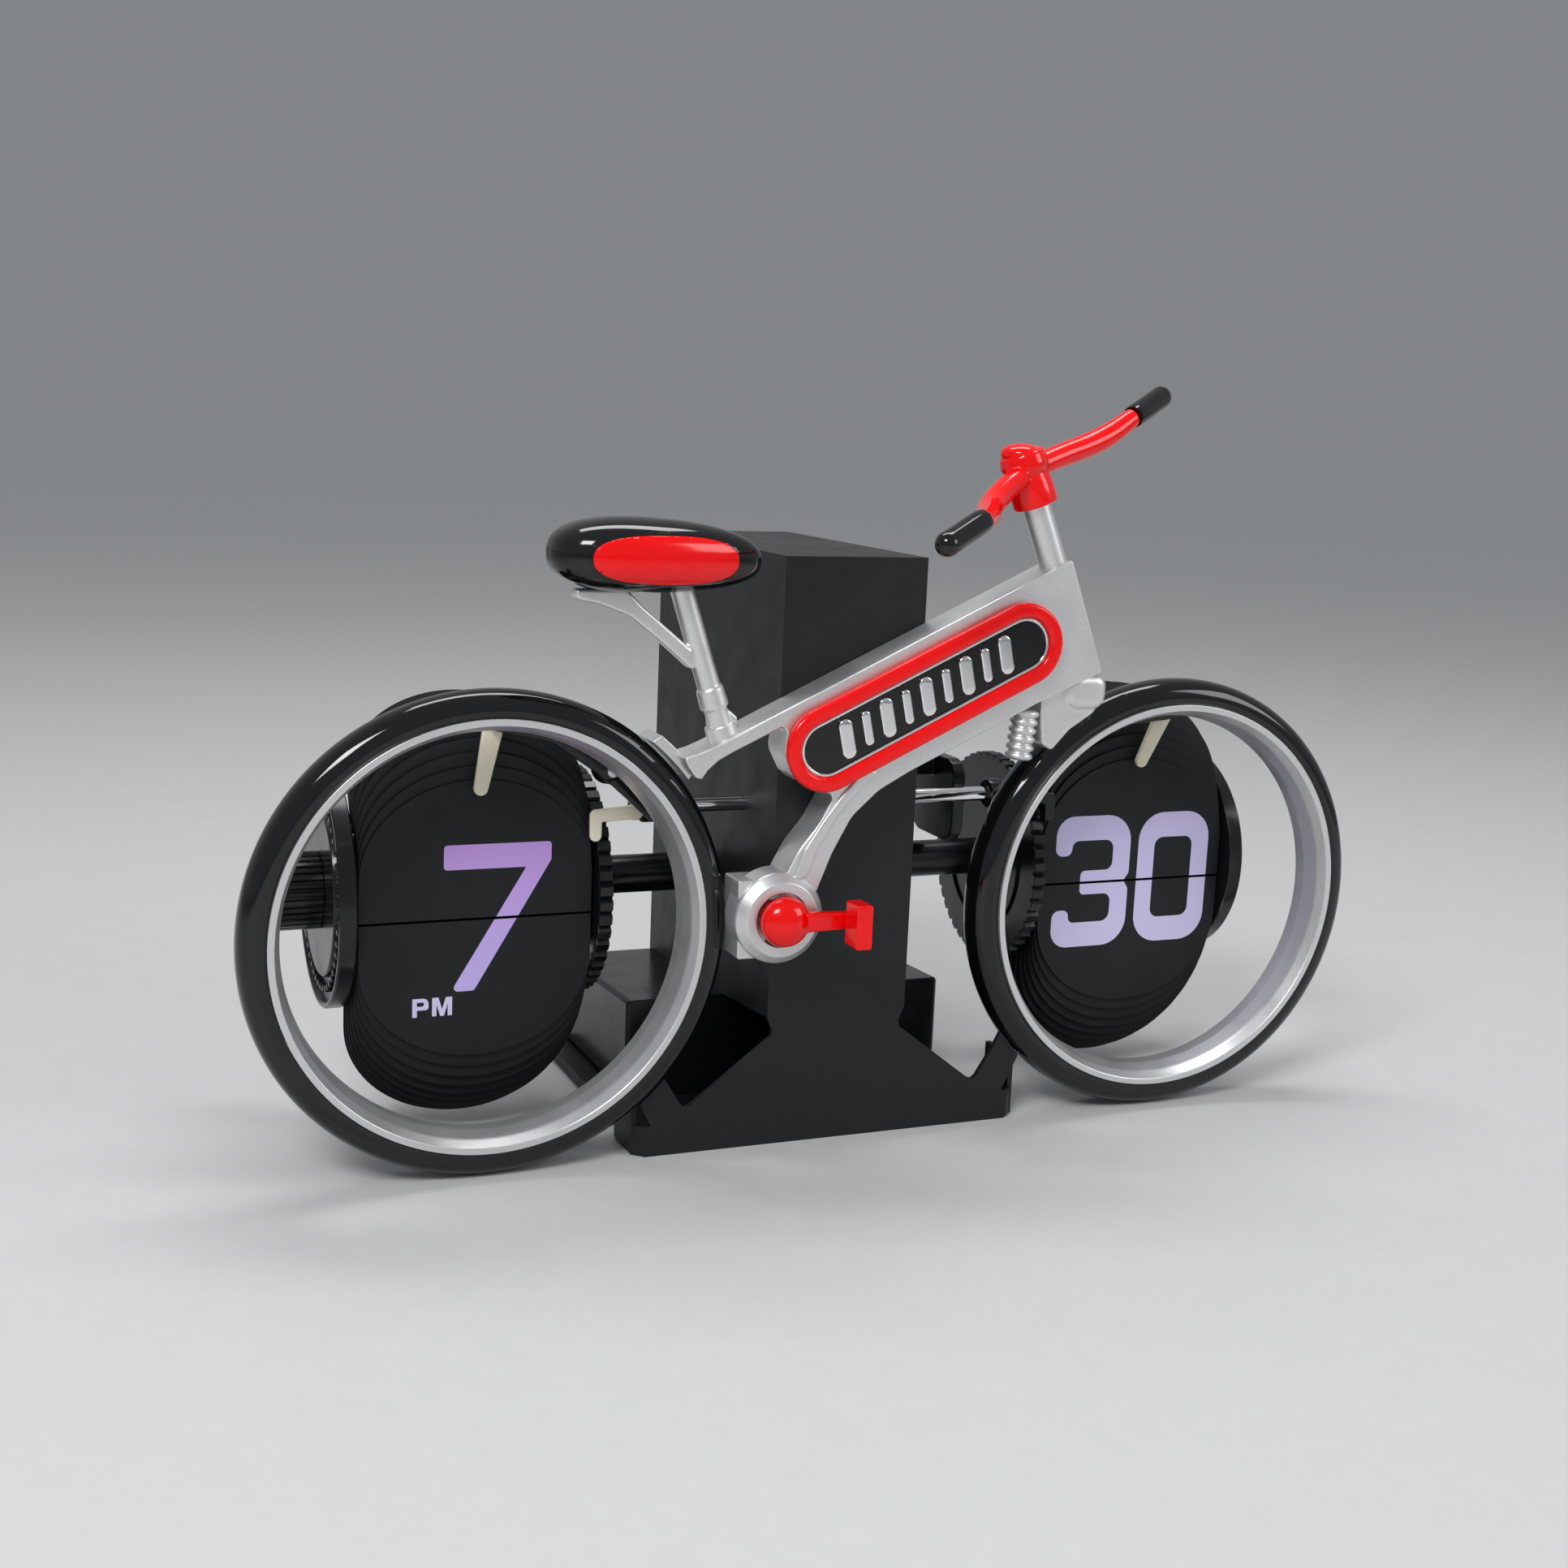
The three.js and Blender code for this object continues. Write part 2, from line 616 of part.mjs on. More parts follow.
function frameOutline() {
  const underBar = (x) => [x, beamTop(x) - 4.2];
  return shapeFrom([
    [-54.4, 117.1], [-53.2, 114.8], [-50.9, 111.7], [-49.4, 111.2], [-48.4, 112.4], [-46.4, 114.6],
    underBar(-42), underBar(-24), [-23, 124.9], [-24.2, 121], [-24.2, 116.6], [-22.4, 112.6],
    [-19.6, 109.8], [-15.2, 108], [-8.6, 106.2], [-14.1, 97.8], [-19.5, 90.7], [-24.3, 82],
    [-24.3, 74], [-16, 74], [-12.9, 79.7], [-9.3, 89], [-4, 99.2], [2.4, 106.2], [13.5, 112],
    [30.6, 119.9], [53.6, 130.6], [74.2, 139.4], [61.6, beamTop(61.6)],
    [-45.8, 120.1], [-50, 118],
  ]);
}

function stayBlock() {
  return cut(block(-42, -27, -6.4, FRONT_Y, 59.2, 82), wheelClearance(REAR_WHEEL_X));
}

function rearLug() {
  const pad = alongY(shapeFrom([[-60.5, 121.6], [-52, 121], [-44, 118], [-46.6, 110],
    [-48.4, 105.4], [-53.6, 103]]), -0.6, FRONT_Y + 8);
  const arch = cut(pad, rodY(TYRE_RADIUS + GAP, -9, 30, REAR_WHEEL_X, WHEEL_Z, WHEEL_SEGMENTS));
  const shell = rodY(TYRE_RADIUS + 3.6, -9, 30, REAR_WHEEL_X, WHEEL_Z, WHEEL_SEGMENTS);
  return arch.intersect(shell);
}

function bikeFrame() {
  const casting = alongY(frameOutline(), FRAME_FRONT_Y, FRONT_Y, 0.8);
  const shell = cut(rodY(13.5, -10.4, FRONT_Y, CRANK_X, CRANK_Z, 40),
    rodY(TYRE_RADIUS + GAP, 0.5, 30, REAR_WHEEL_X, WHEEL_Z, WHEEL_SEGMENTS));
  const seatBoss = bar([-40.9, FRAME_MID_Y, 121], [-42.6, FRAME_MID_Y, 125.2], 4.4, 4.1, 24);
  const bore = rodY(6.2, -20, -6.4, CRANK_X, CRANK_Z, 32);
  const seatBore = bar([-41.2, FRAME_MID_Y, 121.6], [-43.9, FRAME_MID_Y, 129.7], 3.5, 3.5, 24);
  const stemBore = bar(steerPoint(0, 0, -12).toArray(), steerPoint(0, 0, 6).toArray(), 4.3, 4.3, 28);
  const solid = join(casting, shell, stayBlock(), rearLug(), seatBoss);
  return cut(solid, bore, seatBore, stemBore);
}

function frontBracket() {
  const knuckle = alongY(roundedRectangle(62, 77, 127.4, 138.8, 3.4), -7.2, FRONT_Y + 3, 0.8);
  const plate = alongY(shapeFrom([[55.2, 134.4], [55.9, 124], [56.5, 117], [60, 108], [82, 119],
    [80, 128], [70, 137]]), -5.6, FRONT_Y + 3, 0.8);
  const body = cut(join(knuckle, plate), alongY(frameOutline(), -12, 12),
    wheelClearance(FRONT_WHEEL_X), block(0, 21.95, 0, 40, 90, 180));
  return largest(body);
}

function largest(solid) {
  return solid.decompose().sort((a, b) => b.volume() - a.volume())[0];
}

// Ridged sleeve between the beam and the front tyre.
function forkSleeve() {
  const profile = [[0, 0]];
  for (let i = 0; i < 5; i += 1) {
    const start = 3 * i;
    profile.push([4, start], [4, start + 2], [3.3, start + 2.3], [3.3, start + 3]);
  }
  profile.push([0, 15]);
  const turned = new THREE.LatheGeometry(
    profile.map(([r, height]) => new THREE.Vector2(r, height)), 20);
  const sleeve = toManifold(turned.rotateX(Math.PI / 2).rotateY(6 * DEG)
    .translate(50.6, -3, 113.2));
  const solid = cut(sleeve, alongY(frameOutline(), -14, 12),
    wheelClearance(FRONT_WHEEL_X), frontBracket());
  return largest(solid);
}

// ---------------------------------------------------------------- badge

function badgeRing() {
  return cut(
    alongY(stadium(BADGE_REAR, BADGE_FRONT, 12), -11.2, FRAME_FRONT_Y, 0.9),
    alongY(stadium(BADGE_REAR, BADGE_FRONT, 7.4), -14, 0),
  );
}

function badgePlate() {
  return alongY(stadium(BADGE_REAR, BADGE_FRONT, 6.3), -9.4, FRAME_FRONT_Y);
}

function badgeBorder() {
  return cut(
    alongY(stadium(BADGE_REAR, BADGE_FRONT, 7.3), -10, FRAME_FRONT_Y),
    alongY(stadium(BADGE_REAR, BADGE_FRONT, 6.4), -14, 0),
  );
}

// ---------------------------------------------------------------- crank

const PEDAL_X = CRANK_X + 18.8;
const PEDAL_RISE = 6.3;

function crank() {
  const spindle = rodY(6, -11.4, -7, CRANK_X, CRANK_Z, 32);
  const disc = rodY(7.2, -13.6, -10.7, CRANK_X, CRANK_Z, 28);
  const dome = ball([CRANK_X, -13.4, CRANK_Z], [7.1, 3.9, 7.1], 28, 12);
  const arm = alongY(stadium([CRANK_X + 4, CRANK_Z], [PEDAL_X, CRANK_Z], 2.6), -15.2, -12, 0.5);
  const pin = rodY(1.6, -22.6, -13, PEDAL_X, CRANK_Z, 20);
  return join(spindle, cut(dome, block(-60, 20, -12.6, 5, 40, 100)), disc, arm, pin);
}

function pedal() {
  const outline = roundedRectangle(PEDAL_X - 2.5, PEDAL_X + 2.5,
    CRANK_Z - PEDAL_RISE, CRANK_Z + PEDAL_RISE, 0.8);
  return cut(alongY(outline, -24, -15.9, 0.7), rodY(1.7, -23, -10, PEDAL_X, CRANK_Z, 20));
}

// ---------------------------------------------------------------- saddle

const SADDLE = { x: -62, y: FRAME_MID_Y, z: 171, halfLength: 29.6, rise: 9.4, halfWidth: 12.5 };
const INSERT_REAR = [-76.9, 170.8];
const INSERT_FRONT = [-48.3, 170.2];
const INSERT_RADIUS = 6.3;

function saddle() {
  const geometry = new THREE.SphereGeometry(1, 24, 14).rotateX(Math.PI / 2);
  const points = geometry.attributes.position;
  for (let i = 0; i < points.count; i += 1) {
    const along = Math.sign(points.getX(i)) * Math.abs(points.getX(i)) ** 0.86;
    const up = Math.sign(points.getZ(i)) * Math.abs(points.getZ(i)) ** 0.86;
    const across = points.getY(i);
    const width = SADDLE.halfWidth * (1 - 0.34 * along);
    const rise = SADDLE.rise * (1 - 0.16 * along);
    points.setXYZ(i, SADDLE.x + SADDLE.halfLength * along, SADDLE.y + width * across,
      SADDLE.z + rise * up - 0.6 * along);
  }
  const postHole = bar([-52.4, SADDLE.y, 153], [-56.2, SADDLE.y, 166.4], 3.5, 3.5, 24);
  const pocket = alongY(stadium(INSERT_REAR, INSERT_FRONT, INSERT_RADIUS + GAP), -40, -11.6);
  return cut(toManifold(geometry), postHole, pocket);
}

function saddleInsert() {
  return alongY(stadium(INSERT_REAR, INSERT_FRONT, INSERT_RADIUS), -14.4, -11.7, 0.8);
}

function seatPost() {
  const post = bar([-41.4, FRAME_MID_Y, 122.2], [-55.8, FRAME_MID_Y, 165.6], 3.2, 3.2, 28);
  const collar = bar([-44.1, FRAME_MID_Y, 130.4], [-45.8, FRAME_MID_Y, 135.4], 4.1, 4.1, 28);
  const brace = alongY(shapeFrom([[-82, 161.4], [-82, 158.8], [-76, 157.8], [-70, 155.6],
    [-50.4, 140.4], [-51.6, 146.4], [-66, 157.6], [-71, 161.4]]), -4.2, 0.8, 0.4);
  return cut(join(post, collar, brace), saddleKeepOut());
}

function saddleKeepOut() {
  return cut(ball([SADDLE.x, SADDLE.y, SADDLE.z], [SADDLE.halfLength + 1, 16, SADDLE.rise + 0.8]),
    bar([-52.4, SADDLE.y, 153], [-56.2, SADDLE.y, 166.4], 3.4, 3.4, 24));
}

// ---------------------------------------------------------------- steering

const STEER_AXIS = new THREE.Vector3(-Math.sin(STEER_TILT), 0, Math.cos(STEER_TILT));
const STEER_AHEAD = new THREE.Vector3(Math.cos(STEER_TILT), 0, Math.sin(STEER_TILT));

// A point given across, ahead of and up from the foot of the steering axis, with the bar turned.
function steerPoint(across, ahead, up) {
  const c = Math.cos(STEER_TURN);
  const s = Math.sin(STEER_TURN);
  const side = new THREE.Vector3(0, 1, 0);
  return STEER_FOOT.clone()
    .addScaledVector(side, across * c - ahead * s)
    .addScaledVector(STEER_AHEAD, across * s + ahead * c)
    .addScaledVector(STEER_AXIS, up);
}

function steerBar(from, to, radius, endRadius = radius) {
  return bar(steerPoint(...from).toArray(), steerPoint(...to).toArray(), radius, endRadius);
}

function stemTube() {
  return steerBar([0, 0, -11.6], [0, 0, HEAD_HEIGHT - 9.2], 4.1);
}

// The far arm sweeps ahead evenly; the near arm bows back before it meets its grip.
const ARM_AHEAD = { near: [1, 0.8, 2.6, 7.2, 11.6], far: [1, 3, 5.9, 8.8, 11.8] };
const ARM_ACROSS = [5, 14, 25, 34, 41.6];
const ARM_RISE = [0.6, 0, -1, -0.9, 0.5];
const GRIP_AHEAD = 12;
const GRIP_RISE = 0.6;

function armPath(side) {
  const ahead = side < 0 ? ARM_AHEAD.near : ARM_AHEAD.far;
  return ARM_ACROSS.map(
    (across, i) => steerPoint(side * across, ahead[i], HEAD_HEIGHT + ARM_RISE[i]));
}

function gripBar(side, from, to, radius) {
  const up = HEAD_HEIGHT + GRIP_RISE;
  return steerBar([side * from, GRIP_AHEAD, up], [side * to, GRIP_AHEAD, up + 0.2], radius);
}

function handlebar() {
  const parts = [
    steerBar([0, 0, HEAD_HEIGHT - 9], [0, 0, HEAD_HEIGHT + 1.6], 6.6, 6.1),
    ball(steerPoint(0, 0, HEAD_HEIGHT + 3.4).toArray(), [6.9, 6.9, 5.4]),
  ];
  [-1, 1].forEach((side) => {
    parts.push(sweep(armPath(side), 3.3));
    parts.push(gripBar(side, 41, 60, 2.2));
  });
  return cut(join(...parts), steerBar([0, 0, -5], [0, 0, HEAD_HEIGHT - 9.05], 6));
}

function grip(side) {
  const end = steerPoint(side * 61.4, GRIP_AHEAD, HEAD_HEIGHT + GRIP_RISE + 0.2);
  const body = join(gripBar(side, 43.8, 61.4, 3.6), ball(end.toArray(), [3.6, 3.6, 3.6]));
  return cut(body, gripBar(side, 40, 60.3, 2.5));
}

// ---------------------------------------------------------------- assembly

// Colour, roughness and metalness of each finish.
const FINISHES = {
  powder: [0x2a2e30, 0.45, 0],
  caseBlack: [0x16181a, 0.2, 0],
  tyreBlack: [0x0c0c0d, 0.1, 0],
  drumBlack: [0x1a1c1e, 0.25, 0],
  gloss: [0x101011, 0.12, 0],
  card: [0x1e2224, 0.55, 0],
  satin: [0xc4c6c6, 0.38, 0.85],
  steel: [0xb8b8ba, 0.35, 1],
  red: [0xe01010, 0.14, 0],
  ivory: [0xf2ead2, 0.4, 0],
  chrome: [0xe8e8ea, 0.08, 1],
  rubber: [0x161616, 0.8, 0],
  brass: [0xc8a24a, 0.3, 1],
  nylon: [0xdcd6c4, 0.45, 0],
  jacket: [0x3c7a4a, 0.25, 0],
};

const group = new THREE.Group();

function add(name, finish, solid) {
  const [color, roughness, metalness] = FINISHES[finish];
  const material = new THREE.MeshStandardMaterial({ color, roughness, metalness });
  const mesh = new THREE.Mesh(toGeometry(solid), material);
  mesh.name = name;
  group.add(mesh);
}

function addDrum(label, side, cardX, fingerTop, fingerTip, root, latchFinish) {
  const inner = cardX - side * (CARD_HALF_WIDTH + 1.1);
  const far = cardX + side * (CARD_HALF_WIDTH + 6);
  const flangeEnds = [inner, inner - side * 4].sort((a, b) => a - b);
  const tubeEnds = [side * 5.5, far - side * 1.2].sort((a, b) => a - b);
  const knobEnds = [far, far + side * 12].sort((a, b) => a - b);
  add(`${label}_axle_tube`, 'drumBlack', axleTube(...tubeEnds));
  add(`${label}_inner_flange`, 'drumBlack', innerFlange(...flangeEnds));
  add(`${label}_outer_flange`, 'drumBlack', outerFlange(side, cardX));
  add(`${label}_knob`, 'drumBlack', knob(...knobEnds));
  add(`${label}_upper_cards`, 'card', upperCards(cardX));
  add(`${label}_lower_cards`, 'card', lowerCards(cardX));
  add(`${label}_front_upper_card`, 'card', frontUpperCard(cardX));
  add(`${label}_front_lower_card`, 'card', frontLowerCard(cardX));
  add(`${label}_finger`, 'ivory', finger(fingerTop, fingerTip));
  add(`${label}_finger_arm`, 'drumBlack', fingerArm(side, root, fingerTop));
  const cardEdge = cardX - side * CARD_HALF_WIDTH;
  add(`${label}_latch`, latchFinish, latch(side, cardEdge, root + side * 3.8));
}

add('stand_panel', 'powder', standPanel());
add('tower_back', 'powder', towerBack());
add('lower_case', 'caseBlack', lowerCase());
add('base_plate', 'powder', basePlate());
add('battery_door', 'caseBlack', batteryDoor());
add('battery_front', 'jacket', battery(67));
add('battery_rear', 'jacket', battery(83));
add('contact_left', 'steel', batteryContact(-26.2));
add('contact_right', 'steel', batteryContact(25.6));
add('foot_strip_front', 'rubber', footStrip(FRONT_STRIP_Y));
add('foot_strip_rear', 'rubber', footStrip(REAR_STRIP_Y));
add('movement_plate', 'brass', movementPlate());
add('motor', 'steel', motor());
add('motor_pinion', 'brass', motorPinion());
add('reduction_gear', 'nylon', reductionGear());
add('minute_gear', 'nylon', minuteGear());
add('chrome_rod', 'chrome', rodX(ROD_RADIUS, -56.4, 66.9, ROD_Y, ROD_Z, 24));
add('rod_bracket', 'drumBlack', rodBracket());
addDrum('hour', -1, HOUR_CARD_X, [-99.6, 123], [-101.6, 103.6], -51, 'ivory');
addDrum('minute', 1, MINUTE_CARD_X, [120.5, 122], [113.2, 105.6], 61.5, 'drumBlack');
add('rear_tyre', 'tyreBlack', tyre(REAR_WHEEL_X));
add('rear_rim', 'satin', rim(REAR_WHEEL_X));
add('front_tyre', 'tyreBlack', tyre(FRONT_WHEEL_X));
add('front_rim', 'satin', rim(FRONT_WHEEL_X));
add('bike_frame', 'satin', bikeFrame());
add('front_bracket', 'satin', frontBracket());
add('fork_sleeve', 'satin', forkSleeve());
add('badge_ring', 'red', badgeRing());
add('badge_plate', 'gloss', badgePlate());
add('badge_border', 'chrome', badgeBorder());
add('crank', 'red', crank());
add('pedal', 'red', pedal());
add('saddle', 'gloss', saddle());
add('saddle_insert', 'red', saddleInsert());
add('seat_post', 'satin', seatPost());
add('stem_tube', 'satin', stemTube());
add('handlebar', 'red', handlebar());
add('grip_near', 'gloss', grip(-1));
add('grip_far', 'gloss', grip(1));

// The part's origin is the middle of the front foot strip's underside.
group.position.y = -FRONT_STRIP_Y;

export default group;
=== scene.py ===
"""Looks of a flip number clock shaped like a bicycle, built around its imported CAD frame.

Lengths in this file are millimetres in the clock's drawing frame: x runs along the bicycle
towards its front wheel, y runs from the rims' front plane to the back, z is up from the table.
"""
import math

import bmesh
import bpy
from mathutils import Matrix, Vector

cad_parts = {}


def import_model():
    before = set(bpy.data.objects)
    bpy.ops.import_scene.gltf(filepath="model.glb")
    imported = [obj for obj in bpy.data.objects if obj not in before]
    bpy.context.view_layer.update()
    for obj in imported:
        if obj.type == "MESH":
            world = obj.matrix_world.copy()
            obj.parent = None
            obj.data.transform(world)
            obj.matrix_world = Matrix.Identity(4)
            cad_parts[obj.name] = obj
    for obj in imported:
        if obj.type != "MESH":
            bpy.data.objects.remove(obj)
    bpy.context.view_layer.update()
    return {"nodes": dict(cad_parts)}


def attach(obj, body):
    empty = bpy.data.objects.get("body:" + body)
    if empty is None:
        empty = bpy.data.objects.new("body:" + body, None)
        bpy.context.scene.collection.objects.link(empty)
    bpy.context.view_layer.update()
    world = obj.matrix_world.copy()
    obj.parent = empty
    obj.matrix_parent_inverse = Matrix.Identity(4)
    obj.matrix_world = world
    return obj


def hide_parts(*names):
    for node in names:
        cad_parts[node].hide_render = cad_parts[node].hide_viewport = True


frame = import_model()

MM = 0.001
ORIGIN_Y = 15.0
NODES = frame["nodes"]

WHEEL_Z = 67.6
REAR_WHEEL_X = -103.3
FRONT_WHEEL_X = 109.7
TYRE_RADIUS = 67.3
TYRE_MIDDLE_Y = 7.2
TYRE_HALF_WIDTH = 6.3
RIM_RADIUS = 60.0

AXIS_Y = 58.0
AXIS_Z = 70.0
TUBE_RADIUS = 5.8
FLANGE_RADIUS = 34.0
SPOOL_RADIUS = 21.0
PIN_CIRCLE = 28.3
CARDS_PER_TURN = 48
CARD_RADIUS = 39.8
CARD_HALF_WIDTH = 33.3
CARD_SIDE_HEIGHT = 12.0
CARD_THICKNESS = 0.5
CARD_FRONT_Y = 29.4
HINGE_Z = 66.2
HINGE_GAP = 0.35
HOUR_CARD_X = -101.1
MINUTE_CARD_X = 113.4

ROD_Y = 31.0
ROD_Z = 96.3
ROD_RADIUS = 2.2

PANEL_FRONT_Y = 4.66
BACK_COVER_Y = 107.2
FRAME_FRONT_Y = -8.0
FRAME_MID_Y = -1.7
CRANK_X = -24.8
CRANK_Z = 71.2
PEDAL_X = CRANK_X + 18.8
PEDAL_RISE = 6.3
BADGE_REAR = (-13.6, 118.9)
BADGE_FRONT = (46.6, 147.6)

STEER_TILT = math.radians(22.3)
STEER_TURN = math.radians(61.4)
STEER_FOOT = Vector((59.1, FRAME_MID_Y, 169.1))
HEAD_HEIGHT = 28.4

CAMERA_PLACE = (-238.69, -506.73, 210.28)
CAMERA_FORWARD = (0.386861, 0.903803, -0.182971)
CAMERA_ROLL = math.radians(2.445)
CAMERA_LENS = 46.10

FLOOR_COLOUR = (0.6, 0.595, 0.59)
AIR_COLOUR = (0.8, 0.84, 0.88)
AIR_STRENGTH = 0.42
FAR_FLOOR_SHEEN = 1.11


# ---------------------------------------------------------------- placing

# From a flat drawing's (a, b, depth) to the drawing frame, for plates that face -Y and +X.
FACING_FRONT = Matrix(((1, 0, 0, 0), (0, 0, -1, 0), (0, 1, 0, 0), (0, 0, 0, 1)))
FACING_SIDE = Matrix(((0, 0, 1, 0), (1, 0, 0, 0), (0, 1, 0, 0), (0, 0, 0, 1)))
TO_FRAME = Matrix.Scale(MM, 4) @ Matrix.Translation((0, -ORIGIN_Y, 0))


def clean(mesh):
    """Merges doubled points and points every face outwards."""
    work = bmesh.new()
    work.from_mesh(mesh)
    bmesh.ops.remove_doubles(work, verts=work.verts, dist=1e-4)
    bmesh.ops.recalc_face_normals(work, faces=work.faces)
    work.to_mesh(mesh)
    work.free()
    return mesh


def joined(name, meshes):
    """One mesh out of several, which are cleaned and used up."""
    work = bmesh.new()
    for mesh in meshes:
        work.from_mesh(clean(mesh))
        bpy.data.meshes.remove(mesh)
    whole = bpy.data.meshes.new(name)
    work.to_mesh(whole)
    work.free()
    return whole


def piece(name, meshes, material, body, replaces=(), sharp=32):
    """Joins millimetre meshes into one named piece that rides on a body."""
    whole = joined(name, meshes)
    whole.transform(TO_FRAME)
    whole.shade_smooth()
    whole.set_sharp_from_angle(angle=math.radians(sharp))
    holder = bpy.data.objects.new(name, whole)
    weighted = holder.modifiers.new("flat_faces", "WEIGHTED_NORMAL")
    weighted.keep_sharp = True
    finished = evaluated(holder)
    finished.materials.clear()
    finished.materials.append(material)
    shown = bpy.data.objects.new(name, finished)
    bpy.context.scene.collection.objects.link(shown)
    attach(shown, body)
    if replaces:
        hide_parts(*replaces)
    return shown


def evaluated(holder):
    """The mesh of a temporary object with its modifiers or curve settings worked in."""
    bpy.context.scene.collection.objects.link(holder)
    graph = bpy.context.evaluated_depsgraph_get()
    mesh = bpy.data.meshes.new_from_object(holder.evaluated_get(graph))
    bpy.data.objects.remove(holder)
    return mesh


# ---------------------------------------------------------------- outlines

def corner_arc(before, corner, after, radius, steps):
    """Points that round one corner of an outline."""
    back = Vector(before) - Vector(corner)
    ahead = Vector(after) - Vector(corner)
    half = back.angle(ahead) / 2
    if radius <= 0 or half > math.radians(88):
        return [tuple(corner)]
    reach = min(radius / math.tan(half), 0.48 * back.length, 0.48 * ahead.length)
    radius = reach * math.tan(half)
    centre = Vector(corner) + (back.normalized() + ahead.normalized()).normalized() * (
        radius / math.sin(half))
    start = Vector(corner) + back.normalized() * reach - centre
    end = Vector(corner) + ahead.normalized() * reach - centre
    first = math.atan2(start.y, start.x)
    turn = (math.atan2(end.y, end.x) - first + math.pi) % (2 * math.pi) - math.pi
    return [(centre.x + radius * math.cos(first + turn * i / steps),
             centre.y + radius * math.sin(first + turn * i / steps)) for i in range(steps + 1)]


def rounded(points, radius=0.0, steps=6):
    """An outline with rounded corners; a point may carry a radius of its own."""
    path = []
    for i, point in enumerate(points):
        own = point[2] if len(point) > 2 else radius
        path += corner_arc(points[i - 1][:2], point[:2], points[(i + 1) % len(points)][:2], own, steps)
    return path


def circle(x, z, radius, count=64):
    """Evenly spaced points of a circle."""
    return [(x + radius * math.cos(2 * math.pi * i / count),
             z + radius * math.sin(2 * math.pi * i / count)) for i in range(count)]


def stadium(a, b, radius, end_radius=None):
    """Two arcs joined by straight sides, centred on a and b."""
    end_radius = radius if end_radius is None else end_radius
    way = math.degrees(math.atan2(b[1] - a[1], b[0] - a[0]))
    return (arc_points(*b, end_radius, way - 90, way + 90, 24)
            + arc_points(*a, radius, way + 90, way + 270, 24))


def arc_points(x, z, radius, first, last, steps):
    """Points of an arc, with its angles in degrees."""
    return [(x + radius * math.cos(math.radians(first + (last - first) * i / steps)),
             z + radius * math.sin(math.radians(first + (last - first) * i / steps)))
            for i in range(steps + 1)]


# ---------------------------------------------------------------- solids

def plate(loops, low, high, bevel, placing, bevel_steps):
    """A plate with rounded edges: the first loop is its outline, the others are holes."""
    curve = bpy.data.curves.new("outline", "CURVE")
    curve.dimensions = "2D"
    curve.fill_mode = "BOTH"
    curve.extrude = (high - low) / 2 - bevel
    curve.bevel_depth = bevel
    curve.bevel_resolution = bevel_steps
    curve.offset = -bevel
    for loop in loops:
        spline = curve.splines.new("POLY")
        spline.points.add(len(loop) - 1)
        for point, (a, b) in zip(spline.points, loop):
            point.co = (a, b, 0, 1)
        spline.use_cyclic_u = True
    mesh = evaluated(bpy.data.objects.new("outline", curve))
    bpy.data.curves.remove(curve)
    mesh.transform(placing @ Matrix.Translation((0, 0, (low + high) / 2)))
    return mesh


def plate_y(loops, front, back, bevel, bevel_steps=3):
    """A plate that faces the reader, between two y planes."""
    return plate(loops, -back, -front, bevel, FACING_FRONT, bevel_steps)


def plate_x(loops, low, high, bevel, bevel_steps):
    """A plate across the bicycle, between two x planes; its outline is in y and z."""
    return plate(loops, low, high, bevel, FACING_SIDE, bevel_steps)


def grid_mesh(rings, closed_along=False):
    """Skins rings of points into one closed surface."""
    work = bmesh.new()
    rows = [[work.verts.new(point) for point in ring] for ring in rings]
    count = len(rings[0])
    pairs = list(zip(rows, rows[1:])) + ([(rows[-1], rows[0])] if closed_along else [])
    for near, far in pairs:
        for i in range(count):
            work.faces.new((near[i], near[(i + 1) % count], far[(i + 1) % count], far[i]))
    if not closed_along:
        work.faces.new(list(reversed(rows[0])))
        work.faces.new(rows[-1])
    mesh = bpy.data.meshes.new("skin")
    work.to_mesh(mesh)
    work.free()
    return mesh


def turned(profile, placing, segments):
    """A solid of revolution about local Z; the profile is a closed list of (radius, height)."""
    rings = []
    for i in range(segments):
        angle = 2 * math.pi * i / segments
        rings.append([(r * math.cos(angle), r * math.sin(angle), h) for r, h in profile])
    mesh = grid_mesh(rings, closed_along=True)
    mesh.transform(placing)
    return mesh


def about_y(x, z):
    """Places a turned solid on an axis that runs from front to back; its height is y."""
    return Matrix.Translation((x, 0, z)) @ Matrix(
        ((1, 0, 0, 0), (0, 0, 1, 0), (0, 1, 0, 0), (0, 0, 0, 1)))


def about_drum_axis():
    """Places a turned solid on the drum axis; its height is x."""
    return Matrix.Translation((0, AXIS_Y, AXIS_Z)) @ FACING_SIDE


def along(start, end):
    """Places a turned solid from one point towards another; its height runs from the start."""
    way = Vector(end) - Vector(start)
    return Matrix.Translation(start) @ way.to_track_quat("Z", "Y").to_matrix().to_4x4()


def smooth_path(points, steps):
    """A Catmull-Rom curve through points of any dimension."""
    points = [Vector(p) for p in points]
    ends = [2 * points[0] - points[1]] + points + [2 * points[-1] - points[-2]]
    path = []
    for a, b, c, d in zip(ends, ends[1:], ends[2:], ends[3:]):
        for i in range(steps):
            t = i / steps
            path.append(0.5 * (2 * b + (c - a) * t + (2 * a - 5 * b + 4 * c - d) * t * t
                               + (3 * b - a - 3 * c + d) * t * t * t))
    return path + [points[-1]]


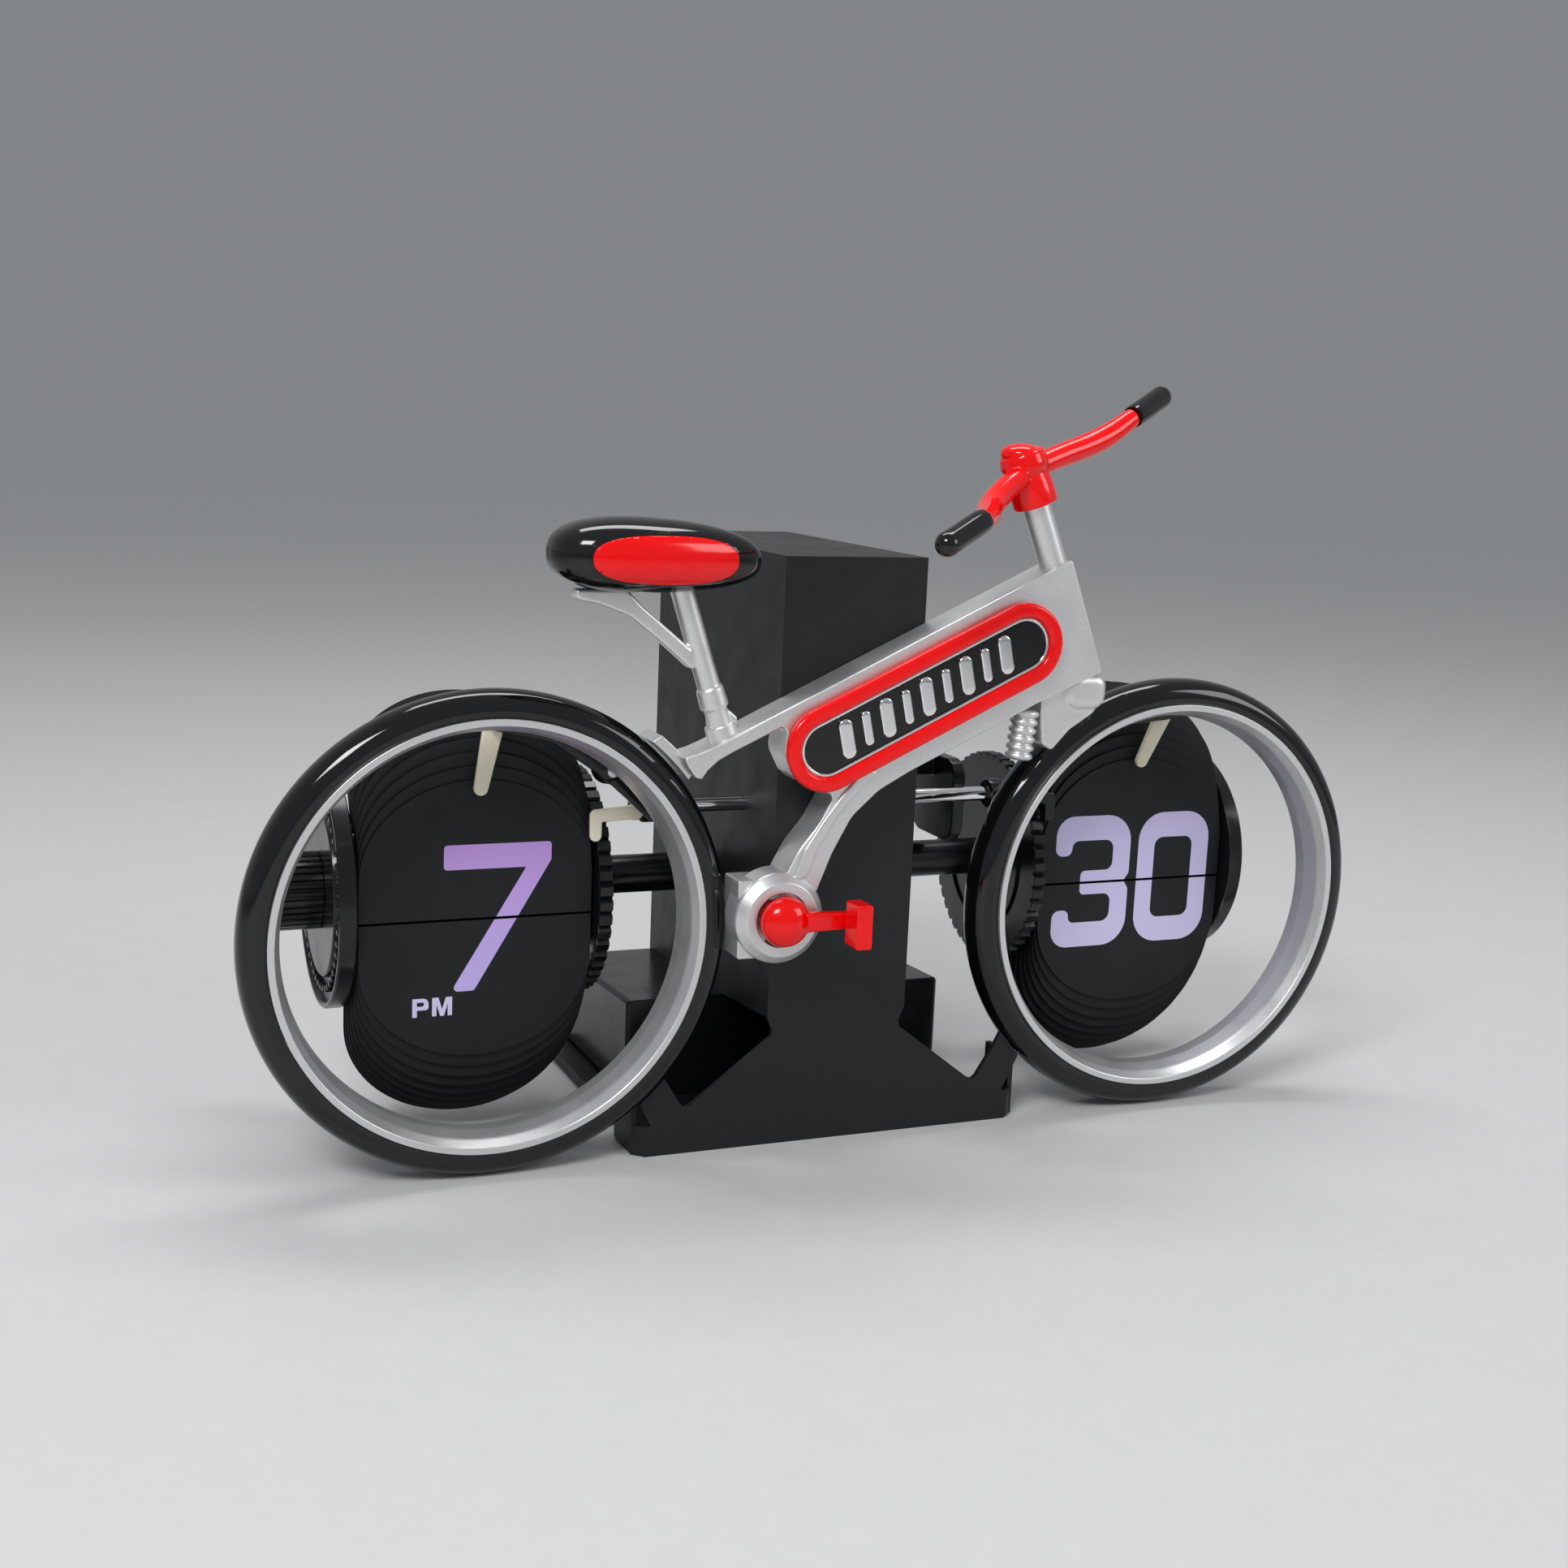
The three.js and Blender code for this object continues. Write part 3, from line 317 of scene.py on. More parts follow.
def tube(points, radii, segments, steps, round_ends=(False, False)):
    """A round bar along a smooth path, with a radius for each given point."""
    path = smooth_path(points, steps)
    sizes = [v[0] for v in smooth_path([(r, 0) for r in radii], steps)]
    path, sizes = with_round_ends(path, sizes, round_ends)
    rings = []
    side = None
    for i, centre in enumerate(path):
        way = (path[min(i + 1, len(path) - 1)] - path[max(i - 1, 0)]).normalized()
        side = way.orthogonal() if side is None else side - way * side.dot(way)
        side.normalize()
        other = way.cross(side)
        rings.append([centre + sizes[i] * (side * math.cos(2 * math.pi * k / segments)
                                           + other * math.sin(2 * math.pi * k / segments))
                      for k in range(segments)])
    return grid_mesh(rings)


def with_round_ends(path, sizes, round_ends):
    """Adds a half ball at the chosen ends of a path."""
    turns = [math.radians(a) for a in (15, 30, 45, 60, 72, 82)]
    if round_ends[1]:
        way = (path[-1] - path[-2]).normalized()
        base, size = path[-1], sizes[-1]
        path = path + [base + way * size * math.sin(t) for t in turns]
        sizes = sizes + [size * math.cos(t) for t in turns]
    if round_ends[0]:
        way = (path[0] - path[1]).normalized()
        base, size = path[0], sizes[0]
        path = [base + way * size * math.sin(t) for t in reversed(turns)] + path
        sizes = [size * math.cos(t) for t in reversed(turns)] + sizes
    return path, sizes


def ball(centre, radii):
    """A ball, or an egg with its three half axes along x, y and z."""
    work = bmesh.new()
    bmesh.ops.create_uvsphere(work, u_segments=32, v_segments=20, radius=1)
    mesh = bpy.data.meshes.new("ball")
    work.to_mesh(mesh)
    work.free()
    mesh.transform(Matrix.Translation(centre) @ Matrix.Diagonal((*radii, 1)))
    return mesh


def moulded(meshes, voxel, smoothing):
    """Fuses overlapping solids into one skin with soft fillets, as in a moulding."""
    holder = bpy.data.objects.new("moulding", joined("moulding", meshes))
    remesh = holder.modifiers.new("fuse", "REMESH")
    remesh.mode = "VOXEL"
    remesh.voxel_size = voxel
    smooth = holder.modifiers.new("soften", "SMOOTH")
    smooth.iterations = smoothing
    smooth.factor = 0.5
    return evaluated(holder)


def bevelled_copy(node, width, segments):
    """A CAD node's own mesh in millimetres, with its sharp edges rounded."""
    mesh = NODES[node].data.copy()
    mesh.transform(TO_FRAME.inverted())
    work = bmesh.new()
    work.from_mesh(mesh)
    bmesh.ops.remove_doubles(work, verts=work.verts, dist=1e-3)
    bmesh.ops.dissolve_limit(work, angle_limit=math.radians(1), verts=work.verts, edges=work.edges)
    work.to_mesh(mesh)
    work.free()
    mesh.materials.clear()
    holder = bpy.data.objects.new(node, mesh)
    bevel = holder.modifiers.new("round", "BEVEL")
    bevel.width = width
    bevel.segments = segments
    bevel.limit_method = "ANGLE"
    bevel.angle_limit = math.radians(35)
    return evaluated(holder)


# ---------------------------------------------------------------- materials

def new_material(name):
    """A material with its nodes and links."""
    made = bpy.data.materials.new(name)
    made.use_nodes = True
    return made, made.node_tree.nodes, made.node_tree.links


def noise(nodes, links, scale, detail=3.0):
    """Noise in the object's own coordinates; scale is in cells per metre."""
    place = nodes.new("ShaderNodeTexCoord")
    grain = nodes.new("ShaderNodeTexNoise")
    grain.inputs["Scale"].default_value = scale
    grain.inputs["Detail"].default_value = detail
    links.new(place.outputs["Object"], grain.inputs["Vector"])
    return grain


def spread(nodes, links, source, low, high):
    """Maps a noise's middle range onto low..high."""
    ranged = nodes.new("ShaderNodeMapRange")
    ranged.inputs["From Min"].default_value = 0.3
    ranged.inputs["From Max"].default_value = 0.7
    ranged.inputs["To Min"].default_value = low
    ranged.inputs["To Max"].default_value = high
    links.new(source, ranged.inputs["Value"])
    return ranged.outputs["Result"]


DRIFT_SCALE = 90.0


def surface(name, colour, rough, metal=0.0, coat=0.0, tint=0.1, grain=2500.0, relief=0.1,
            depth=0.00004, anisotropy=0.0, shine=0.5):
    """A painted, moulded or metal surface.

    rough is a (low, high) range that drifts over the surface, tint is how far the colour
    drifts, grain and relief give the fine texture's scale and strength, and shine is the
    level of the plain reflection.
    """
    made, nodes, links = new_material(name)
    shader = nodes["Principled BSDF"]
    shader.inputs["Metallic"].default_value = metal
    shader.inputs["Coat Weight"].default_value = coat
    shader.inputs["Coat Roughness"].default_value = 0.04
    shader.inputs["Anisotropic"].default_value = anisotropy
    shader.inputs["Specular IOR Level"].default_value = shine
    drift = noise(nodes, links, DRIFT_SCALE)
    links.new(spread(nodes, links, drift.outputs["Fac"], *rough), shader.inputs["Roughness"])
    shade = nodes.new("ShaderNodeMix")
    shade.data_type = "RGBA"
    shade.inputs["A"].default_value = (*[c * (1 - tint) for c in colour], 1)
    shade.inputs["B"].default_value = (*[min(1, c * (1 + tint)) for c in colour], 1)
    speckle = noise(nodes, links, grain * 0.7, 2.0)
    links.new(spread(nodes, links, speckle.outputs["Fac"], 0, 1), shade.inputs["Factor"])
    links.new(shade.outputs["Result"], shader.inputs["Base Color"])
    bump = nodes.new("ShaderNodeBump")
    bump.inputs["Strength"].default_value = relief
    bump.inputs["Distance"].default_value = depth
    fine = noise(nodes, links, grain)
    links.new(fine.outputs["Fac"], bump.inputs["Height"])
    links.new(bump.outputs["Normal"], shader.inputs["Normal"])
    return made


def print_with_painted_light(name, foot, head):
    """Card print in lavender, one tint at the numeral's foot and another at its head; the lavender and its
    shift with height are painted coloured light on pale print.
    """
    made, nodes, links = new_material(name)
    shader = nodes["Principled BSDF"]
    shader.inputs["Roughness"].default_value = 0.55
    place = nodes.new("ShaderNodeTexCoord")
    parts = nodes.new("ShaderNodeSeparateXYZ")
    links.new(place.outputs["Object"], parts.inputs["Vector"])
    # Painted coloured light: the print's tint shifts with height across the numeral.
    rise = nodes.new("ShaderNodeMapRange")
    rise.inputs["From Min"].default_value = (HINGE_Z - 26) * MM
    rise.inputs["From Max"].default_value = (HINGE_Z + 24) * MM
    links.new(parts.outputs["Z"], rise.inputs["Value"])
    patches = noise(nodes, links, 900.0)
    blend = nodes.new("ShaderNodeMath")
    blend.operation = "MULTIPLY_ADD"
    blend.inputs[1].default_value = 0.12
    links.new(patches.outputs["Fac"], blend.inputs[0])
    links.new(rise.outputs["Result"], blend.inputs[2])
    ramp = nodes.new("ShaderNodeValToRGB")
    ramp.color_ramp.elements[0].color = (*foot, 1)
    ramp.color_ramp.elements[1].color = (*head, 1)
    links.new(blend.outputs["Value"], ramp.inputs["Fac"])
    links.new(ramp.outputs["Color"], shader.inputs["Base Color"])
    bump = nodes.new("ShaderNodeBump")
    bump.inputs["Strength"].default_value = 0.15
    bump.inputs["Distance"].default_value = 0.00002
    links.new(patches.outputs["Fac"], bump.inputs["Height"])
    links.new(bump.outputs["Normal"], shader.inputs["Normal"])
    return made


POWDER = surface("powder_black", (0.0075, 0.009, 0.0098), (0.4, 0.52), grain=2600, relief=0.35,
                 depth=0.00006, tint=0.2, shine=0.34)
CASE = surface("case_black", (0.006, 0.0065, 0.007), (0.18, 0.28), relief=0.06, shine=0.36)
TYRE = surface("tyre_gloss", (0.003, 0.003, 0.0033), (0.05, 0.1), grain=500, relief=0.03, shine=0.5)
SATIN = surface("satin_silver", (0.7, 0.7, 0.705), (0.32, 0.42), metal=0.8, grain=5200,
                relief=0.3, depth=0.00003, tint=0.09)
RED = surface("gloss_red", (0.86, 0.0, 0.001), (0.12, 0.19), coat=0.15, grain=380, relief=0.04,
              tint=0.03, shine=0.35)
BLACK = surface("gloss_black", (0.004, 0.004, 0.0045), (0.06, 0.12), grain=700, relief=0.04, shine=0.5)
DRUM = surface("drum_black", (0.006, 0.0063, 0.007), (0.16, 0.28), relief=0.08, shine=0.42)
CARD = surface("card_black", (0.0085, 0.0095, 0.0105), (0.5, 0.62), grain=4200, relief=0.25,
               depth=0.00002, tint=0.15, shine=0.3)
IVORY = surface("ivory", (0.82, 0.76, 0.6), (0.3, 0.42), coat=0.1, grain=1400, relief=0.1, tint=0.03)
CHROME = surface("chrome", (0.86, 0.86, 0.87), (0.05, 0.11), metal=1.0, grain=1500, relief=0.03,
                 tint=0.02)
RUBBER = surface("foot_rubber", (0.02, 0.02, 0.02), (0.7, 0.85), grain=3000, relief=0.4)
BRASS = surface("brass", (0.72, 0.52, 0.24), (0.25, 0.4), metal=1.0, grain=2200, relief=0.1)
STEEL = surface("motor_steel", (0.55, 0.55, 0.56), (0.25, 0.42), metal=1.0, grain=1800, relief=0.12,
                anisotropy=0.5)
GEAR = surface("gear_plastic", (0.78, 0.75, 0.66), (0.35, 0.5), grain=1500, relief=0.1)
JACKET = surface("battery_jacket", (0.03, 0.16, 0.07), (0.2, 0.32), coat=0.3, grain=1200, relief=0.05)
SPRING = surface("spring_metal", (0.7, 0.7, 0.7), (0.12, 0.25), metal=1.0, grain=2600, relief=0.08)
# The lavender of both prints, deeper on the hour than on the minute, is painted coloured light.
HOUR_PRINT_PAINTED_LIGHT = print_with_painted_light("hour_print_painted_light", (0.5, 0.44, 0.82), (0.54, 0.31, 0.76))
MINUTE_PRINT_PAINTED_LIGHT = print_with_painted_light("minute_print_painted_light", (0.62, 0.6, 0.84), (0.58, 0.52, 0.8))


# ---------------------------------------------------------------- wheels

def wheel(label, x):
    """A glossy tyre around a satin rim ring that slopes inwards to the back."""
    seat = RIM_RADIUS + 1.3
    tread = []
    for i in range(29):
        angle = math.radians(-90 + 180 * i / 28)
        swell = (TYRE_RADIUS - seat) * max(0, math.cos(angle)) ** 0.8
        shift = math.copysign(abs(math.sin(angle)) ** 0.9, math.sin(angle))
        tread.append((seat + swell, TYRE_MIDDLE_Y + TYRE_HALF_WIDTH * shift))
    tread += [(RIM_RADIUS + 0.1, TYRE_MIDDLE_Y + TYRE_HALF_WIDTH - 0.3),
              (RIM_RADIUS + 0.1, TYRE_MIDDLE_Y - TYRE_HALF_WIDTH + 0.3)]
    piece(f"{label}_tyre_skin", [turned(tread, about_y(x, WHEEL_Z), 192)], TYRE, "stand",
          [f"{label}_tyre"], sharp=50)
    bed = [(RIM_RADIUS, 0.15, 0.2), (RIM_RADIUS, 12.6, 0.3), (55.3, 12.6, 0.4), (55.6, 8.6, 6),
           (56.6, 3.6, 6), (58.2, 0.15, 0.5)]
    piece(f"{label}_rim_ring", [turned(rounded(bed, steps=5), about_y(x, WHEEL_Z), 192)], SATIN,
          "stand", [f"{label}_rim"], sharp=40)


# ---------------------------------------------------------------- stand

def stand():
    """The stand's sheets and case with rounded edges, and the back cover's four screws."""
    for name, node, width, segments, material, slot in (
            ("stand_sheet", "stand_panel", 0.45, 3, POWDER, "stand_black"),
            ("case_shell", "lower_case", 0.5, 3, CASE, "case_black"),
            ("back_cover", "tower_back", 0.3, 2, POWDER, "stand_black"),
            ("base_sheet", "base_plate", 0.25, 2, POWDER, "stand_black")):
        piece(name, [bevelled_copy(node, width, segments)], material, "stand", [node], sharp=50)
    corners = ((-16.5, 42), (16.5, 42), (-16.5, 164), (16.5, 164))
    screws = [screw_head(x, BACK_COVER_Y, z) for x, z in corners]
    piece("back_cover_screws", screws, STEEL, "stand")


def screw_head(x, y, z, radius=2.2, facing=1):
    """A pan head with its axis along y, domed towards the back (1) or the front (-1)."""
    dome = [(0.0, 0.9), (0.9, 0.85), (1.7, 0.6), (radius, 0.1), (radius, -0.4), (0.0, -0.4)]
    return turned([(r, y + facing * h) for r, h in dome], about_y(x, z), 24)


# ---------------------------------------------------------------- drums and cards

def half_card(x, upward):
    """Outline of a half card on its hinge edge: straight sides closed by a half ellipse."""
    sign = 1 if upward else -1
    rise = CARD_RADIUS - CARD_SIDE_HEIGHT
    outline = [(-CARD_HALF_WIDTH, HINGE_GAP), (CARD_HALF_WIDTH, HINGE_GAP)]
    for i in range(49):
        angle = math.pi * i / 48
        outline.append((CARD_HALF_WIDTH * math.cos(angle), CARD_SIDE_HEIGHT + rise * math.sin(angle)))
    return [(x + a, sign * b) for a, b in outline]


def card_plate(x, y, z, upward=True, lean=0.0):
    """One half card with its front face at y, leaning back by some degrees about its hinge edge."""
    mesh = plate([half_card(x, upward)], -CARD_THICKNESS, 0, 0.1, FACING_FRONT, 1)
    mesh.transform(Matrix.Translation((0, y, z)) @ Matrix.Rotation(-math.radians(lean), 4, "X"))
    return mesh


def pin_point(step):
    """Where a card's pin sits on the drum, counted in card steps from the display position."""
    angle = math.asin((HINGE_Z - AXIS_Z) / PIN_CIRCLE) + step * 2 * math.pi / CARDS_PER_TURN
    return AXIS_Y - PIN_CIRCLE * math.cos(angle), AXIS_Z + PIN_CIRCLE * math.sin(angle)


UPPER_LEANS = (0, 0, 0.6, 1.6, 4, 9, 18, 30)
LOWER_COUNT = 9


def cards(label, x):
    """Standing and hanging card fans behind the two cards of the display."""
    front = CARD_FRONT_Y + CARD_THICKNESS + 0.2
    upper = []
    for i, lean in enumerate(UPPER_LEANS):
        y, z = pin_point(i + 1)
        upper.append(card_plate(x, max(y, front + 0.95 * i), z, True, lean))
    piece(f"{label}_upper_fan", upper, CARD, "stand", [f"{label}_upper_cards"])
    lower = []
    for i in range(1, LOWER_COUNT + 1):
        y, z = pin_point(-i)
        lower.append(card_plate(x, max(y, front + 0.95 * (i - 1)), z, False))
    piece(f"{label}_lower_fan", lower, CARD, "stand", [f"{label}_lower_cards"])
    piece(f"{label}_display_upper", [card_plate(x, CARD_FRONT_Y, HINGE_Z)], CARD, "stand",
          [f"{label}_front_upper_card"])
    piece(f"{label}_display_lower", [card_plate(x, CARD_FRONT_Y, HINGE_Z, False)], CARD,
          f"{label}_card", [f"{label}_front_lower_card"])


def inner_flange(label, side, x):
    """Disc beside the tower: saw teeth on its edge and a raised ring around the tube."""
    near = x - side * (CARD_HALF_WIDTH + 1.1)
    low, high = sorted((near, near - side * 4.0))
    teeth = []
    for i in range(CARDS_PER_TURN):
        for share, depth in ((0.0, 0.0), (0.55, 0.3), (0.75, 1.4)):
            angle = 2 * math.pi * (i + share) / CARDS_PER_TURN
            radius = FLANGE_RADIUS - depth
            teeth.append((AXIS_Y + radius * math.cos(angle), AXIS_Z + radius * math.sin(angle)))
    disc = plate_x([teeth, circle(AXIS_Y, AXIS_Z, TUBE_RADIUS + 0.05)], low, high, 0.25, 2)
    outside = near - side * 4.0
    ring = turned([(22.0, outside), (22.0, outside - side * 0.8), (23.2, outside - side * 0.8),
                   (23.2, outside)], about_drum_axis(), 96)
    piece(f"{label}_toothed_disc", [disc, ring], DRUM, f"{label}_drum",
          [f"{label}_inner_flange"])


def outer_flange(label, side, x):
    """Far disc with its spool, a stepped outer face and a ring of card pins."""
    face = x + side * (CARD_HALF_WIDTH + 1.1)
    back = face + side * 4.9
    spool_end = x - side * (CARD_HALF_WIDTH + 1.0)
    profile = [
        (TUBE_RADIUS + 0.1, spool_end), (SPOOL_RADIUS, spool_end), (SPOOL_RADIUS, face - side * 0.6),
        (SPOOL_RADIUS + 0.6, face), (FLANGE_RADIUS - 0.4, face), (FLANGE_RADIUS, face + side * 0.4),
        (FLANGE_RADIUS, back - side * 0.5), (FLANGE_RADIUS - 0.5, back), (FLANGE_RADIUS - 1.3, back),
        (FLANGE_RADIUS - 1.8, back - side * 0.4), (FLANGE_RADIUS - 2.2, back - side * 1.6),
        (25.2, back - side * 1.6), (24.8, back - side * 0.3), (24.4, back),
        (TUBE_RADIUS + 0.1, back),
    ]
    meshes = [turned(profile, about_drum_axis(), 128)]
    for i in range(CARDS_PER_TURN):
        angle = 2 * math.pi * (i + 0.5) / CARDS_PER_TURN
        y = AXIS_Y + PIN_CIRCLE * math.cos(angle)
        z = AXIS_Z + PIN_CIRCLE * math.sin(angle)
        base = back - side * 1.7
        pin = [(0.0, 0.0), (1.1, 0.0), (1.1, 1.1), (0.7, 1.5), (0.0, 1.5)]
        meshes.append(turned(pin, along((base, y, z), (base + side, y, z)), 12))
    piece(f"{label}_pin_disc", meshes, DRUM, f"{label}_drum", [f"{label}_outer_flange"])


def knob(label, side, x):
    """Ribbed setting knob with a recessed end."""
    near = x + side * (CARD_HALF_WIDTH + 6.0)
    low, high = sorted((near + side * 0.05, near + side * 12.0))
    ribs = []
    for i in range(30):
        for share, radius in ((0.0, 10.3), (0.2, 11.1), (0.6, 11.1), (0.8, 10.3)):
            angle = 2 * math.pi * (i + share) / 30
            ribs.append((AXIS_Y + radius * math.cos(angle), AXIS_Z + radius * math.sin(angle)))
    body = plate_x([ribs, circle(AXIS_Y, AXIS_Z, 7.4, 48)], low, high, 0.3, 2)
    end = near + side * 12.0
    core = turned([(0.0, near + side * 0.1), (7.5, near + side * 0.1), (7.5, end - side * 1.3),
                   (0.0, end - side * 1.3)], about_drum_axis(), 48)
    piece(f"{label}_ribbed_knob", [body, core], DRUM, f"{label}_drum", [f"{label}_knob"])


def axle_tube(label, side, x):
    """Shaft between the two drums."""
    far = x + side * (CARD_HALF_WIDTH + 4.8)
    start = side * 5.5
    inside = TUBE_RADIUS - 1.4
    profile = [(inside, start), (TUBE_RADIUS, start), (TUBE_RADIUS, side * 24.4),
               (TUBE_RADIUS, far), (inside, far)]
    piece(f"{label}_drum_tube", [turned(profile, about_drum_axis(), 64)], DRUM, f"{label}_drum",
          [f"{label}_axle_tube"])


# ---------------------------------------------------------------- digits

SEVEN = [(-9.7, 21.5, 1.0), (-9.7, 14.4, 1.0), (13.9, 14.4, 0.2), (-7.4, -20.8, 1.2),
         (-0.7, -20.8, 1.2), (21.2, 16.2, 1.5), (21.2, 21.5, 1.0)]
ZERO_OUTER = [(2.2, 21.9, 9), (28.8, 21.9, 9), (28.8, -20.9, 9), (2.2, -20.9, 9)]
ZERO_INNER = [(8.3, 13.7, 3), (22.5, 13.7, 3), (22.5, -12.8, 3), (8.3, -12.8, 3)]
THREE = [(-28.3, 21.7, 9), (-28.3, 8.9, 2.6), (-22.3, 8.9, 2.6), (-22.3, 13.7, 3), (-7.2, 13.7, 3),
         (-7.2, 3.9, 2.6), (-18.7, 3.9, 1.6), (-18.7, -3.9, 1.6), (-7.2, -3.9, 2.6),
         (-7.2, -13.0, 3), (-22.3, -13.0, 3), (-22.3, -8.8, 2.6), (-28.3, -8.8, 2.6),
         (-28.3, -21.0, 9), (-0.8, -21.0, 9), (-0.8, -2.6, 2.5), (-2.6, 0.0, 0.3),
         (-0.8, 2.6, 2.5), (-0.8, 21.7, 9)]
INK_FRONT_Y = CARD_FRONT_Y - 0.06


def half_of(mesh, upper):
    """Keeps the part of a numeral above or below the hinge line."""
    work = bmesh.new()
    work.from_mesh(clean(mesh))
    bpy.data.meshes.remove(mesh)
    sign = 1 if upper else -1
    cut = bmesh.ops.bisect_plane(
        work, geom=work.verts[:] + work.edges[:] + work.faces[:],
        plane_co=(0, 0, HINGE_Z + sign * (HINGE_GAP + 0.05)), plane_no=(0, 0, sign), clear_inner=True)
    edges = [e for e in cut["geom_cut"] if isinstance(e, bmesh.types.BMEdge)]
    bmesh.ops.holes_fill(work, edges=edges)
    kept = bpy.data.meshes.new("half")
    work.to_mesh(kept)
    work.free()
    return kept


def printed(loops, x, z, steps):
    """A figure just proud of the display cards, from loops placed around a point."""
    placed = [[(x + a, z + b) for a, b in rounded(loop, steps=steps)] for loop in loops]
    return plate_y(placed, INK_FRONT_Y, CARD_FRONT_Y - 0.01, 0.01, 1)


def numeral(label, x, figures, ink):
    """A numeral printed across the two display cards, split where they meet."""
    for upper in (True, False):
        meshes = [half_of(printed(loops, x, HINGE_Z, 8), upper) for loops in figures]
        name = f"{label}_digits_{'upper' if upper else 'lower'}"
        piece(name, meshes, ink, "stand" if upper else f"{label}_card")


LETTER_P = [(0, 0), (1.3, 0), (1.3, 2.0), (2.9, 2.0, 0.2), (4.6, 2.0, 1.7), (4.6, 5.4, 1.7), (0, 5.4)]
LETTER_P_EYE = [(1.3, 3.1), (3.3, 3.1, 0.6), (3.3, 4.3, 0.6), (1.3, 4.3)]
LETTER_M = [(5.6, 0), (6.85, 0), (6.85, 3.5), (7.9, 0), (9.0, 0), (10.05, 3.5), (10.05, 0), (11.3, 0),
            (11.3, 5.4), (9.5, 5.4), (8.45, 1.9), (7.4, 5.4), (5.6, 5.4)]


def half_day_mark():
    """The small PM under the hour, in plain block letters."""
    left, low = HOUR_CARD_X - 18.2, HINGE_Z - 27.5
    meshes = [printed(loops, left, low, 5) for loops in ([LETTER_P, LETTER_P_EYE], [LETTER_M])]
    piece("hour_half_day_mark", meshes, MINUTE_PRINT_PAINTED_LIGHT, "hour_card")


# ---------------------------------------------------------------- card retainers

def bent_strip(points, widths, front, back, bevel=0.45):
    """Links of a flat moulded strip through points, with a width at each point."""
    ends = list(zip(points, widths))
    return [plate_y([stadium(a, b, wa / 2, wb / 2)], front, back, bevel, 2)
            for (a, wa), (b, wb) in zip(ends, ends[1:])]


def collar(x, half, radius):
    """A ring on the card rod."""
    return turned(rounded([(ROD_RADIUS, -half, 0), (radius, -half, 0.4), (radius, half, 0.4),
                           (ROD_RADIUS, half, 0)]),
                  along((x, ROD_Y, ROD_Z), (x + 1, ROD_Y, ROD_Z)), 40)


def retainers(label, side, top, tip, root, card_x, latch_look):
    """Finger over the card tops, the arm that carries it, and the latch beside the cards."""
    piece(f"{label}_finger_strip", bent_strip([top, tip], [6.0, 4.1], 26.4, 28.1), IVORY, "stand",
          [f"{label}_finger"])
    hook = card_x - side * CARD_HALF_WIDTH
    latch_root = root + side * 4.7
    material, slot = latch_look
    links = bent_strip([(hook, 89.2), (hook, ROD_Z - 1.4), (latch_root, ROD_Z - 0.6)],
                       [3.4, 3.6, 4.2], 26.2, 27.9, 0.3)
    piece(f"{label}_latch_strip", [moulded(links + [collar(root + side * 3.8, 1.2, 3.8)], 0.22, 3)],
          material, "stand", [f"{label}_latch"])
    head = (root + side * 14, ROD_Z + 12.5)
    crest = (root + side * 30, ROD_Z + 23)
    arm = bent_strip([(root, ROD_Z), head, crest, top], [6.4, 6.0, 5.2, 5.2], 22.6, 26.1, 0.8)
    knuckle = ball((head[0], 26.5, head[1]), (4.6, 5.4, 4.6))
    piece(f"{label}_arm_moulding", [moulded(arm + [collar(root, 2.3, 4.6), knuckle], 0.4, 6)], DRUM,
          "stand", [f"{label}_finger_arm"])
    screw = screw_head(head[0], 21.0, head[1], 1.9, facing=-1)
    piece(f"{label}_arm_screw", [screw], STEEL, "stand")


def rod():
    """The chrome rod that carries fingers and latches, and its black bracket."""
    end = [(0.0, 0.0), (ROD_RADIUS - 0.4, 0.0), (ROD_RADIUS, 0.4), (ROD_RADIUS, 122.9),
           (ROD_RADIUS - 0.4, 123.3), (0.0, 123.3)]
    bar = turned(end, along((-56.4, ROD_Y, ROD_Z), (0, ROD_Y, ROD_Z)), 48)
    piece("rod_bar", [bar], CHROME, "stand", ["chrome_rod"])
    piece("rod_carrier", [bevelled_copy("rod_bracket", 0.5, 3)], DRUM, "stand",
          ["rod_bracket"], sharp=50)


# ---------------------------------------------------------------- bicycle frame

BEAM_SLOPE = 0.4786


def beam_top(x):
    """Height of the beam's straight upper edge."""
    return 120.1 + BEAM_SLOPE * (x + 45.8)


def frame_outline():
    """The casting seen from the front: rear tip, curved down tube, then the beam to its head."""
    return rounded([
        (-54.4, 117.2, 0.6), (-53.0, 114.4, 2), (-50.9, 111.7, 0.8), (-49.2, 111.2, 0.6),
        (-47.6, 113.6, 2), (-44.6, 116.2, 2), (-40, beam_top(-40) - 4.2, 3),
        (-24.6, beam_top(-24.6) - 4.4, 1.5), (-25.6, 118, 6), (-21.6, 110.2, 6), (-13.8, 106.8, 3),
        (-9.6, 105.6, 2.5), (-13.8, 97.8, 20), (-19.8, 90.4, 20), (-24.3, 81.6, 8), (-24.3, 74, 1),
        (-15.4, 74, 1), (-13.2, 79.7, 8), (-9.5, 89, 10), (-4, 99.2, 12), (4, 106.4, 12),
        (13.5, 111.6, 14), (30.6, 119.6, 30), (53.6, 130.4, 10), (74.3, 139.2, 0.8),
        (61.8, beam_top(61.8), 0.8), (-45.8, 120.1, 2), (-50, 118.4, 3)])


def bottom_bracket():
    """Ring around the crank: flat face, rolled edge and a deep bore."""
    profile = rounded([
        (7.7, -7.4, 0), (7.7, -10.2, 0.25), (10.4, -10.3, 0.4), (10.8, -10.0, 0.4),
        (13.1, -7.6, 1.6), (13.4, 0.2, 0.5), (7.7, 0.2, 0)], steps=5)
    return turned(profile, about_y(CRANK_X, CRANK_Z), 96)


